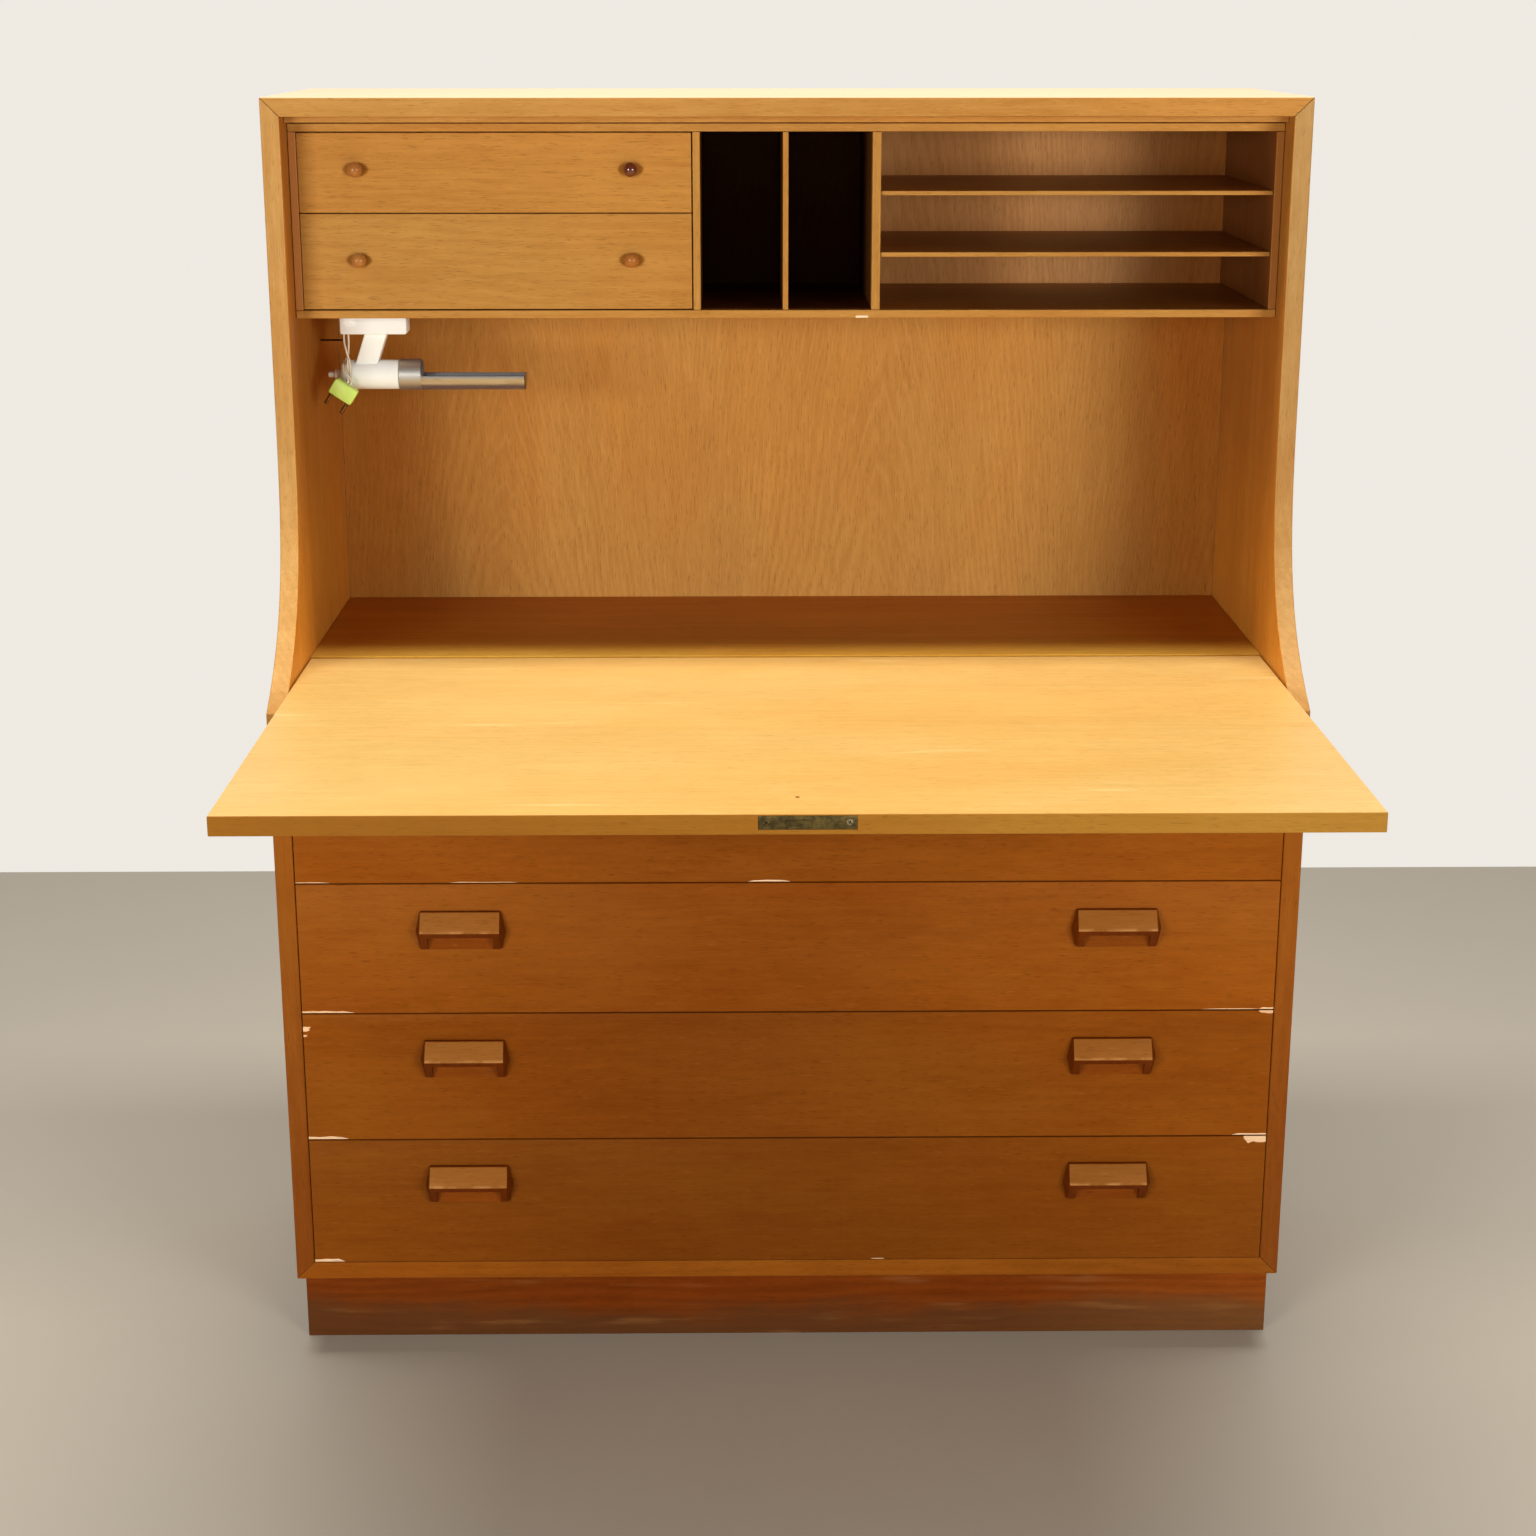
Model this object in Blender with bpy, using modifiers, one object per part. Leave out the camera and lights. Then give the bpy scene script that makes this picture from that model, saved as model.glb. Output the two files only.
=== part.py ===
"""Fall-front writing desk with four wide drawers, a pigeonhole unit and a small lamp.

Every place is given in the desk's own frame: X to the right from the middle, Y backwards from
the face of the wide drawers, Z up from the floor. The root empty moves that frame so that the
origin lies under the middle of the whole desk, open flap included.
"""
import math

import bmesh
import bpy
from mathutils import Matrix, Vector

# Overall size, metres
WIDTH = 1.050
HEIGHT = 1.309
DEPTH = 0.471
BOARD = 0.019
GAP = 0.0003
EASED_EDGE = 0.0008
INNER = WIDTH / 2 - BOARD

# Lower case
PLINTH_HEIGHT = 0.089
PLINTH_INSET = 0.040
PLINTH_BOARD = 0.018
PLINTH_SIDE_INSET = 0.002
LEDGE_TOP = 0.714
FRONT_RAIL_HEIGHT = 0.038
RAIL_DEPTH = 0.020
BACK_FRONT = 0.463
BACK_BOARD = 0.006

# Upper case and the sweep of the side panels
UPPER_FRONT = 0.141
SWEEP_TOP = 1.0
SWEEP_PULL_TOP = (0.141, 0.870)
SWEEP_PULL_FOOT = (0.135, 0.785)
SWEEP_STEPS = 14

# Flap: the pivot is the centre of its half-round rear edge
FLAP_THICKNESS = 0.018
FLAP_REACH = 0.5652
FLAP_HALF_WIDTH = 0.504
PIVOT = Vector((0, 0.158, LEDGE_TOP + GAP + FLAP_THICKNESS / 2))
DESK_TOP = PIVOT.z + FLAP_THICKNESS / 2
FLAP_FRONT = PIVOT.y - FLAP_REACH
PIN_RADIUS = 0.003
PIN_HOLE_RADIUS = 0.00308
PIN_IN_SIDE = 0.009
PIN_IN_FLAP = 0.009
PIN_SIDES = 24

# Lock in the flap's front edge
LOCK_PLATE_X = (-0.0346, 0.0500)
LOCK_PLATE_Z = (0.7190, 0.7311)
LOCK_PLATE_THICKNESS = 0.0015
BOLT_WIDTH = 0.022
BOLT_HEIGHT = 0.004
BOLT_LENGTH = 0.012
BOLT_TRAVEL = 0.006
BOLT_Z = 0.7250
KEYHOLE_SETBACK = 0.0517
KEYHOLE_RADIUS = 0.0013
KEY_ENTRY_RADIUS = 0.0030

# Wide drawers
DRAWER_PITCH = 0.142
DRAWER_COUNT = 4
FIRST_DRAWER_FOOT = PLINTH_HEIGHT + BOARD
DRAWER_SEAM = 0.0008
DRAWER_SIDE_SEAM = 0.0012
DRAWER_BOX_HALF_WIDTH = 0.494
DRAWER_BOX_BACK = 0.440
DRAWER_BOX_FOOT = 0.008
DRAWER_BOX_HEAD = 0.018
DRAWER_WALL = 0.012
DRAWER_FLOOR = 0.006

# Finger pulls: a wedge that stands out furthest at the foot of its lip
PULL_X = 0.3375
PULL_DROP = 0.0285
PULL_TOP_HALF = 0.0415
PULL_MAX_HALF = 0.0475
PULL_FOOT_HALF = 0.0425
PULL_LIP_HALF = 0.0410
PULL_WAIST = 0.0225
PULL_LIP_FOOT = 0.0200
PULL_HEIGHT = 0.0415
PULL_TOP_DEPTH = 0.0050
PULL_DEPTH = 0.0175
PULL_FOOT_DEPTH = 0.0045
PULL_BACK = 0.0035
PULL_SCOOP_HALF = 0.0330
PULL_SCOOP_HEAD = 0.0095
PULL_SCOOP_DEPTH = 0.0135

# Pigeonhole unit
STOP_STRIP_DEPTH = 0.022
UNIT_FRONT = 0.183
UNIT_HALF = 0.5055
UNIT_BOTTOM = 1.0869
UNIT_TOP = 1.2821
UNIT_BOARD = 0.008
DIVIDER_LEFT = (-0.0962, -0.0887)
DIVIDER_MIDDLE = (-0.0042, 0.0014)
DIVIDER_RIGHT = (0.0870, 0.0958)
SHELVES_Z = {"shelf_upper": (1.2104, 1.2148), "shelf_lower": (1.1485, 1.1532)}
SHELF_INSET = 0.004

# Small drawers
SMALL_DRAWER_X = (-0.4970, -0.0975)
SMALL_DRAWER_Z = {"upper": (1.1936, 1.2730), "lower": (1.0963, 1.1926)}
SMALL_FRONT = 0.010
SMALL_BOX_INSET = 0.003
SMALL_BOX_BACK = 0.440
SMALL_WALL = 0.007
SMALL_FLOOR = 0.004
KNOB_X = {"left": -0.4380, "right": -0.1590}
KNOB_Z = {"upper": 1.2368, "lower": 1.1461}
KNOB_LENGTH = 0.0130
KNOB_RADIUS = 0.0076

# Lamp under the unit
LAMP_Y = 0.260
LAMP_Z = 1.0193
LAMP_BASE_X = (-0.4700, -0.3998)
LAMP_BASE_Y = (0.2395, 0.2705)
LAMP_BASE_FOOT = 1.0638
NECK_WIDTH = 0.0235
NECK_DEPTH = 0.020
NECK_TOP_X = -0.4344
NECK_SHEAR = 0.35
HOUSING_X = (-0.4720, -0.4111)
HOUSING_RADIUS = 0.0155
REFLECTOR_RADIUS = 0.0165
REFLECTOR_WALL = 0.0008
REFLECTOR_END = -0.2767
COLLAR_END = -0.3875
NUT_RADIUS = 0.0055
NUT_END = -0.4799
BUTTON_RADIUS = 0.0030
BUTTON_END = -0.4873
BUTTON_TRAVEL = 0.003
BUTTON_INSIDE = 0.0045

# Twin flex wound on the housing, and its plug
FLEX_RADIUS = 0.0010
FLEX_LAY = 0.0023
FLEX_CROSSING = 0.0022
FLEX_WIND_RADIUS = HOUSING_RADIUS + FLEX_RADIUS + 0.0005
FLEX_POINTS_PER_TURN = 12
FLEX_READINGS = 2
FLEX_BAND_LEFT = -0.4684
FLEX_LIFT = 0.0028
FLEX_PLUG_SPREAD = 0.0038
PLUG_CENTRE = Vector((-0.4680, 0.2345, 1.0050))
PLUG_TILT = math.radians(33)
PLUG_SIZE = Vector((0.0275, 0.0130, 0.0175))
PLUG_PIN_SPREAD = 0.0095
PLUG_PIN_RADIUS = 0.0020
PLUG_PIN_LENGTH = 0.0130

# Wire hook on the left wall
HOOK_RADIUS = 0.0010
HOOK_Y = 0.334
HOOK_Z = 1.047
HOOK_REACH = 0.026
HOOK_TIP = 0.006

# Finishes: colour, roughness, metallic
TEAK = ((0.46, 0.22, 0.07), 0.45, 0.0)
TEAK_DARK = ((0.29, 0.10, 0.02), 0.45, 0.0)
TEAK_FLAP = ((0.75, 0.48, 0.19), 0.35, 0.0)
TEAK_PLINTH = ((0.16, 0.05, 0.01), 0.50, 0.0)
PULL_WOOD = ((0.27, 0.10, 0.02), 0.35, 0.0)
DRAWER_PINE = ((0.60, 0.42, 0.22), 0.60, 0.0)
OLD_STEEL = ((0.25, 0.21, 0.16), 0.45, 0.9)
LAMP_ENAMEL = ((0.80, 0.78, 0.70), 0.35, 0.0)
CHROME = ((0.75, 0.75, 0.73), 0.12, 1.0)
FLEX_PLASTIC = ((0.75, 0.62, 0.50), 0.45, 0.0)
PLUG_PLASTIC = ((0.43, 0.58, 0.08), 0.30, 0.0)
PIN_BRASS = ((0.20, 0.10, 0.03), 0.35, 1.0)


def clear_scene():
    for obj in list(bpy.data.objects):
        bpy.data.objects.remove(obj, do_unlink=True)


def new_collection(name):
    collection = bpy.data.collections.new(name)
    bpy.context.scene.collection.children.link(collection)
    return collection


clear_scene()
PARTS = new_collection("fall_front_desk")
CUTTERS = new_collection("cutters")


# Placing and finishing

def new_empty(name, parent=None, at=(0, 0, 0)):
    """An empty at a point of the desk's frame, on which an assembly is hung."""
    empty = bpy.data.objects.new(name, None)
    empty.empty_display_size = 0.05
    PARTS.objects.link(empty)
    attach(empty, parent, at)
    return empty


def origin_in_desk(obj):
    """Where an object's origin lies in the desk's frame."""
    place = Vector((0, 0, 0))
    while obj is not None and obj is not ROOT:
        place += obj.location
        obj = obj.parent
    return place


def attach(obj, parent, at):
    """Hang an object on its parent, at a point given in the desk's frame."""
    obj.parent = parent
    obj.location = Vector(at) - origin_in_desk(parent)


def finish_piece(obj, name, finish, parent, at):
    """Name a piece, give it its own material and hang it on its parent."""
    obj.name = name
    obj.data.name = name
    colour, roughness, metallic = finish
    material = bpy.data.materials.new(name)
    material.use_nodes = True
    shader = material.node_tree.nodes["Principled BSDF"]
    shader.inputs["Base Color"].default_value = (*colour, 1.0)
    shader.inputs["Roughness"].default_value = roughness
    shader.inputs["Metallic"].default_value = metallic
    obj.data.materials.clear()
    obj.data.materials.append(material)
    for collection in list(obj.users_collection):
        collection.objects.unlink(obj)
    PARTS.objects.link(obj)
    attach(obj, parent, at)
    return obj


def as_cutter(obj, name, parent, at):
    """Make an object a hidden tool that only cuts other pieces."""
    obj.name = name
    obj.hide_render = True
    obj.display_type = 'WIRE'
    for collection in list(obj.users_collection):
        collection.objects.unlink(obj)
    CUTTERS.objects.link(obj)
    attach(obj, parent, at)
    return obj


def cut(piece, cutter, operation='DIFFERENCE'):
    modifier = piece.modifiers.new(cutter.name, 'BOOLEAN')
    modifier.object = cutter
    modifier.operation = operation
    modifier.solver = 'EXACT'


def ease_edges(piece, width=EASED_EDGE, segments=2):
    modifier = piece.modifiers.new("eased_edges", 'BEVEL')
    modifier.width = width
    modifier.segments = segments
    modifier.limit_method = 'ANGLE'
    modifier.angle_limit = math.radians(40)


# Making shapes

def cube_object(size):
    bpy.ops.mesh.primitive_cube_add(size=1)
    obj = bpy.context.object
    obj.data.transform(Matrix.Diagonal((*size, 1)))
    return obj


def board(name, low, high, finish, parent, ease=EASED_EDGE, segments=2):
    """A rectangular board between two corners of the desk's frame."""
    low = Vector(low)
    high = Vector(high)
    obj = cube_object(high - low)
    finish_piece(obj, name, finish, parent, (low + high) / 2)
    if ease:
        ease_edges(obj, ease, segments)
    return obj


def block_cutter(name, low, high, parent):
    low = Vector(low)
    high = Vector(high)
    return as_cutter(cube_object(high - low), name, parent, (low + high) / 2)


def cylinder_object(radius, length, axis, sides=PIN_SIDES):
    bpy.ops.mesh.primitive_cylinder_add(vertices=sides, radius=radius, depth=length)
    obj = bpy.context.object
    turn = Vector((0, 0, 1)).rotation_difference(Vector(axis)).to_matrix().to_4x4()
    obj.data.transform(turn)
    obj.data.shade_smooth()
    obj.data.set_sharp_from_angle(angle=math.radians(40))
    return obj


def outline_plate(outline, thickness):
    """A flat outline in local X and Y, given a thickness along local Z, as a mesh."""
    curve = bpy.data.curves.new("outline", 'CURVE')
    curve.dimensions = '2D'
    curve.fill_mode = 'BOTH'
    curve.extrude = thickness / 2
    spline = curve.splines.new('POLY')
    spline.points.add(len(outline) - 1)
    for point, (x, y) in zip(spline.points, outline):
        point.co = (x, y, 0, 1)
    spline.use_cyclic_u = True
    guide = bpy.data.objects.new("outline", curve)
    bpy.context.scene.collection.objects.link(guide)
    evaluated = guide.evaluated_get(bpy.context.evaluated_depsgraph_get())
    mesh = bpy.data.meshes.new_from_object(evaluated)
    bpy.data.objects.remove(guide)
    shape = bmesh.new()
    shape.from_mesh(mesh)
    bmesh.ops.remove_doubles(shape, verts=shape.verts, dist=0.00001)
    bmesh.ops.dissolve_limit(shape, angle_limit=math.radians(1), verts=shape.verts, edges=shape.edges)
    bmesh.ops.recalc_face_normals(shape, faces=shape.faces)
    shape.to_mesh(mesh)
    shape.free()
    obj = bpy.data.objects.new("plate", mesh)
    bpy.context.scene.collection.objects.link(obj)
    return obj


def turned(name, profile, finish, parent, at, rotation, steps=24):
    """A turned piece: radius and height pairs, from the top down its outer side."""
    mesh = bpy.data.meshes.new(name)
    points = [(radius, 0, height) for radius, height in profile]
    edges = [(i, i + 1) for i in range(len(points) - 1)]
    mesh.from_pydata(points, edges, [])
    obj = bpy.data.objects.new(name, mesh)
    bpy.context.scene.collection.objects.link(obj)
    finish_piece(obj, name, finish, parent, at)
    obj.rotation_euler = rotation
    screw = obj.modifiers.new("turning", 'SCREW')
    screw.steps = steps
    screw.render_steps = steps
    screw.use_merge_vertices = True
    screw.merge_threshold = 0.00001
    return obj


def bezier(start, pull_start, pull_end, end, steps):
    """Points along one cubic curve, both ends included."""
    points = []
    for i in range(steps + 1):
        t = i / steps
        s = 1 - t
        points.append(tuple(s ** 3 * a + 3 * s * s * t * b + 3 * s * t * t * c + t ** 3 * d
                            for a, b, c, d in zip(start, pull_start, pull_end, end)))
    return points


def arc(centre, radius, start, end, steps):
    """Points along an arc, angles in degrees, both ends included."""
    points = []
    for i in range(steps + 1):
        angle = math.radians(start + (end - start) * i / steps)
        points.append((centre[0] + radius * math.cos(angle), centre[1] + radius * math.sin(angle)))
    return points


def smooth_route(points, readings):
    """Read a smooth curve through the route's points, several times between neighbours."""
    padded = [2 * points[0] - points[1], *points, 2 * points[-1] - points[-2]]
    route = []
    for a, b, c, d in zip(padded, padded[1:], padded[2:], padded[3:]):
        for i in range(readings):
            t = i / readings
            route.append(0.5 * (2 * b + (c - a) * t + (2 * a - 5 * b + 4 * c - d) * t ** 2
                                + (3 * b - a - 3 * c + d) * t ** 3))
    route.append(points[-1])
    return route


def wire(name, points, radius, finish, parent):
    """A round wire along points of the desk's frame, with closed ends."""
    curve = bpy.data.curves.new(name, 'CURVE')
    curve.dimensions = '3D'
    curve.bevel_depth = radius
    curve.bevel_resolution = 2
    curve.use_fill_caps = True
    spline = curve.splines.new('POLY')
    spline.points.add(len(points) - 1)
    start = points[0]
    for point, place in zip(spline.points, points):
        point.co = (*(place - start), 1)
    obj = bpy.data.objects.new(name, curve)
    bpy.context.scene.collection.objects.link(obj)
    return finish_piece(obj, name, finish, parent, start)


SIDE_ON = (math.pi / 2, 0, math.pi / 2)
FRONT_ON = (math.pi / 2, 0, 0)
LEFT_UP = (0, -math.pi / 2, 0)


# Case

def side_outline():
    """The side panel seen from the side: Y backwards and Z up."""
    foot = (0, LEDGE_TOP)
    head = (UPPER_FRONT, SWEEP_TOP)
    sweep = bezier(head, SWEEP_PULL_TOP, SWEEP_PULL_FOOT, foot, SWEEP_STEPS)
    return [(0, PLINTH_HEIGHT), (DEPTH, PLINTH_HEIGHT), (DEPTH, HEIGHT), (UPPER_FRONT, HEIGHT), *sweep]


def make_side(name, side):
    obj = outline_plate(side_outline(), BOARD)
    finish_piece(obj, name, TEAK, ROOT, (side * (INNER + BOARD / 2), 0, 0))
    obj.rotation_euler = SIDE_ON
    ease_edges(obj, 0.0012)
    for end, height, tilt in (("_head_mitre", HEIGHT, 45), ("_foot_mitre", PLINTH_HEIGHT, 135)):
        mitre = cube_object((0.2, 0.8, 0.1))
        as_cutter(mitre, name + end, ROOT, (side * WIDTH / 2, DEPTH / 2, height))
        mitre.data.transform(Matrix.Translation((0, 0, 0.05 - GAP)))
        mitre.rotation_euler = (0, -side * math.radians(tilt), 0)
        cut(obj, mitre)
    pin_depth = PIN_IN_SIDE + GAP
    hole = cylinder_object(PIN_HOLE_RADIUS, 2 * pin_depth, (1, 0, 0))
    as_cutter(hole, name + "_pin_hole", ROOT, (side * INNER, PIVOT.y, PIVOT.z))
    cut(obj, hole)


def mitred_board(name, outer_z, inner_z, front, finish):
    """A board mitred between the side panels; its wide face is the outer one."""
    half = WIDTH / 2
    rise = inner_z - outer_z
    length = DEPTH - front
    obj = outline_plate([(-half, 0), (half, 0), (INNER, rise), (-INNER, rise)], length)
    finish_piece(obj, name, finish, ROOT, (0, front + length / 2, outer_z))
    obj.rotation_euler = FRONT_ON
    ease_edges(obj, 0.0010)
    return obj


def make_top():
    under = HEIGHT - BOARD
    top = mitred_board("top_panel", HEIGHT, under, UPPER_FRONT, TEAK)
    half_width = BOLT_WIDTH / 2 + 0.001
    half_height = BOLT_HEIGHT / 2 + 0.001
    mortise_y = PIVOT.y + BOLT_Z - PIVOT.z
    mortise = block_cutter("bolt_mortise", (-half_width, mortise_y - half_height, under - 0.005),
                           (half_width, mortise_y + half_height, under + BOLT_TRAVEL + 0.0015), ROOT)
    cut(top, mortise)


def make_case():
    make_side("side_panel_left", -1)
    make_side("side_panel_right", 1)
    make_top()
    half = INNER - GAP
    back = BACK_FRONT - GAP
    head = HEIGHT - BOARD - GAP
    foot = PLINTH_HEIGHT + BOARD
    mitred_board("bottom_panel", PLINTH_HEIGHT, foot, 0, TEAK_DARK)
    board("back_panel", (-half, BACK_FRONT, foot + GAP), (half, BACK_FRONT + BACK_BOARD, head),
          TEAK_DARK, ROOT, ease=0)
    board("front_rail", (-half, 0, LEDGE_TOP - FRONT_RAIL_HEIGHT), (half, RAIL_DEPTH, LEDGE_TOP),
          TEAK_DARK, ROOT)
    board("lower_top_panel", (-half, RAIL_DEPTH + GAP, LEDGE_TOP - BOARD), (half, back, LEDGE_TOP),
          TEAK, ROOT)
    desk_front = PIVOT.y + FLAP_THICKNESS / 2 + 0.0012
    board("desk_panel", (-half, desk_front, LEDGE_TOP + GAP), (half, back, DESK_TOP), TEAK_DARK, ROOT)
    strip_front = PIVOT.y + FLAP_THICKNESS / 2 + 0.0005
    board("top_stop_strip", (-half, strip_front, UNIT_TOP + 0.0014),
          (half, strip_front + STOP_STRIP_DEPTH, head), TEAK, ROOT)
    for name, side in (("hinge_pin_left", -1), ("hinge_pin_right", 1)):
        pin_outer = INNER + PIN_IN_SIDE
        pin_inner = FLAP_HALF_WIDTH - PIN_IN_FLAP
        pin = cylinder_object(PIN_RADIUS, pin_outer - pin_inner, (1, 0, 0))
        finish_piece(pin, name, OLD_STEEL, ROOT, (side * (pin_outer + pin_inner) / 2, PIVOT.y, PIVOT.z))


def make_plinth():
    outer = WIDTH / 2 - PLINTH_SIDE_INSET
    inner = outer - PLINTH_BOARD
    top = PLINTH_HEIGHT - GAP
    front_back = PLINTH_INSET + PLINTH_BOARD
    rear = DEPTH - 0.010
    board("plinth_front", (-outer, PLINTH_INSET, 0), (outer, front_back, top), TEAK_PLINTH, ROOT)
    for name, low, high in (("plinth_left", -outer, -inner), ("plinth_right", inner, outer)):
        board(name, (low, front_back + GAP, 0), (high, rear, top), TEAK_PLINTH, ROOT)


# Pigeonhole unit

def make_unit():
    back = BACK_FRONT - GAP
    floor = UNIT_BOTTOM + UNIT_BOARD
    roof = UNIT_TOP - UNIT_BOARD
    inner = UNIT_HALF - UNIT_BOARD
    board("unit_top", (-UNIT_HALF, UNIT_FRONT, roof), (UNIT_HALF, back, UNIT_TOP), TEAK, ROOT)
    board("unit_bottom", (-UNIT_HALF, UNIT_FRONT, UNIT_BOTTOM), (UNIT_HALF, back, floor), TEAK, ROOT)
    uprights = {"unit_side_left": (-UNIT_HALF, -inner), "unit_side_right": (inner, UNIT_HALF),
                "divider_left": DIVIDER_LEFT, "divider_middle": DIVIDER_MIDDLE,
                "divider_right": DIVIDER_RIGHT}
    for name, (low, high) in uprights.items():
        board(name, (low, UNIT_FRONT, floor + GAP), (high, back, roof - GAP), TEAK, ROOT)
    for name, (low, high) in SHELVES_Z.items():
        board(name, (DIVIDER_RIGHT[1] + GAP, UNIT_FRONT + SHELF_INSET, low), (inner - GAP, back, high),
              TEAK, ROOT)


# Drawers

def drawer_box(name, low, high, wall, floor, parent):
    """An open tray: the top face of a block, set in by the wall and pushed down to the floor."""
    low = Vector(low)
    high = Vector(high)
    size = high - low
    obj = cube_object(size)
    shape = bmesh.new()
    shape.from_mesh(obj.data)
    shape.faces.ensure_lookup_table()
    top = max(shape.faces, key=lambda face: face.calc_center_median().z)
    bmesh.ops.inset_individual(shape, faces=[top], thickness=wall)
    hollow = bmesh.ops.extrude_discrete_faces(shape, faces=[top])["faces"][0]
    bmesh.ops.translate(shape, verts=hollow.verts, vec=(0, 0, floor - size.z))
    shape.to_mesh(obj.data)
    shape.free()
    return finish_piece(obj, name, DRAWER_PINE, parent, (low + high) / 2)


def make_small_drawer(level):
    z_low, z_high = SMALL_DRAWER_Z[level]
    x_low, x_high = SMALL_DRAWER_X
    slide = new_empty("small_drawer_" + level + "_slide", ROOT,
                      ((x_low + x_high) / 2, UNIT_FRONT, (z_low + z_high) / 2))
    board("small_front_" + level, (x_low, UNIT_FRONT, z_low), (x_high, UNIT_FRONT + SMALL_FRONT, z_high),
          TEAK, slide)
    drawer_box("small_box_" + level,
               (x_low + SMALL_BOX_INSET, UNIT_FRONT + SMALL_FRONT + GAP, z_low + SMALL_BOX_INSET),
               (x_high - SMALL_BOX_INSET, SMALL_BOX_BACK, z_high - SMALL_BOX_INSET),
               SMALL_WALL, SMALL_FLOOR, slide)
    for side, x in KNOB_X.items():
        profile = [(0, KNOB_LENGTH), (0.0035, KNOB_LENGTH - 0.0002), (0.0058, KNOB_LENGTH - 0.0010),
                   (KNOB_RADIUS, KNOB_LENGTH - 0.0028), (KNOB_RADIUS, KNOB_LENGTH - 0.0060),
                   (0.0062, KNOB_LENGTH - 0.0095), (0.0060, 0.0), (0, 0)]
        turned("knob_" + level + "_" + side, profile, TEAK_DARK, slide,
               (x, UNIT_FRONT - GAP, KNOB_Z[level]), FRONT_ON, steps=20)


def pull_mesh():
    """A finger pull: a loft from its hexagonal foot on the drawer to its slanting lip."""
    foot = [(-PULL_TOP_HALF, 0), (PULL_TOP_HALF, 0), (PULL_MAX_HALF, -PULL_WAIST),
            (PULL_FOOT_HALF, -PULL_HEIGHT), (-PULL_FOOT_HALF, -PULL_HEIGHT), (-PULL_MAX_HALF, -PULL_WAIST)]
    lip_top = -0.0005
    lip = [(-PULL_LIP_HALF, lip_top, -PULL_TOP_DEPTH), (PULL_LIP_HALF, lip_top, -PULL_TOP_DEPTH),
           (PULL_LIP_HALF, -PULL_LIP_FOOT, -PULL_DEPTH), (PULL_LIP_HALF, -PULL_HEIGHT, -PULL_FOOT_DEPTH),
           (-PULL_LIP_HALF, -PULL_HEIGHT, -PULL_FOOT_DEPTH), (-PULL_LIP_HALF, -PULL_LIP_FOOT, -PULL_DEPTH)]
    shape = bmesh.new()
    back = [shape.verts.new((x, 0, z)) for x, z in foot]
    front = [shape.verts.new((x, y, z)) for x, z, y in lip]
    shape.faces.new(back)
    shape.faces.new([front[0], front[1], front[2], front[5]])
    shape.faces.new([front[5], front[2], front[3], front[4]])
    count = len(back)
    for i in range(count):
        j = (i + 1) % count
        shape.faces.new([back[i], back[j], front[j], front[i]])
    bmesh.ops.recalc_face_normals(shape, faces=shape.faces)
    mesh = bpy.data.meshes.new("pull")
    shape.to_mesh(mesh)
    shape.free()
    return mesh


def make_pull(name, x, top, slide):
    obj = bpy.data.objects.new(name, pull_mesh())
    bpy.context.scene.collection.objects.link(obj)
    finish_piece(obj, name, PULL_WOOD, slide, (x, -GAP, top))
    ease_edges(obj, 0.0016)
    below = -PULL_HEIGHT - 0.008
    profile = [(-PULL_BACK, below), (-PULL_BACK, -PULL_SCOOP_HEAD - 0.001),
               (-PULL_TOP_DEPTH, -PULL_SCOOP_HEAD), (-PULL_SCOOP_DEPTH, 0.0005 - PULL_LIP_FOOT),
               (-PULL_SCOOP_DEPTH, below)]
    scoop = outline_plate(profile, 2 * PULL_SCOOP_HALF)
    as_cutter(scoop, name + "_scoop", slide, (x, -GAP, top))
    scoop.rotation_euler = SIDE_ON
    cut(obj, scoop)


def make_wide_drawer(number):
    """Drawer 1 is the top one."""
    foot = FIRST_DRAWER_FOOT + (DRAWER_COUNT - number) * DRAWER_PITCH
    z_low = foot + DRAWER_SEAM
    z_high = foot + DRAWER_PITCH - DRAWER_SEAM
    half = INNER - DRAWER_SIDE_SEAM
    label = str(number)
    slide = new_empty("drawer_" + label + "_slide", ROOT, (0, 0, (z_low + z_high) / 2))
    board("drawer_front_" + label, (-half, 0, z_low), (half, BOARD, z_high), TEAK_DARK, slide)
    drawer_box("drawer_box_" + label,
               (-DRAWER_BOX_HALF_WIDTH, BOARD + GAP, z_low + DRAWER_BOX_FOOT),
               (DRAWER_BOX_HALF_WIDTH, DRAWER_BOX_BACK, z_high - DRAWER_BOX_HEAD),
               DRAWER_WALL, DRAWER_FLOOR, slide)
    pull_top = foot + DRAWER_PITCH - PULL_DROP
    make_pull("pull_" + label + "_left", -PULL_X, pull_top, slide)
    make_pull("pull_" + label + "_right", PULL_X, pull_top, slide)


# Flap and its lock

def front_edge_block(name, across, upright, depth, room, pivot):
    """A cutter sunk into the flap's front edge, with some room all round what it receives."""
    return block_cutter(name, (across[0] - room, FLAP_FRONT - 0.005, upright[0] - room),
                        (across[1] + room, FLAP_FRONT + depth + room, upright[1] + room), pivot)


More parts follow.
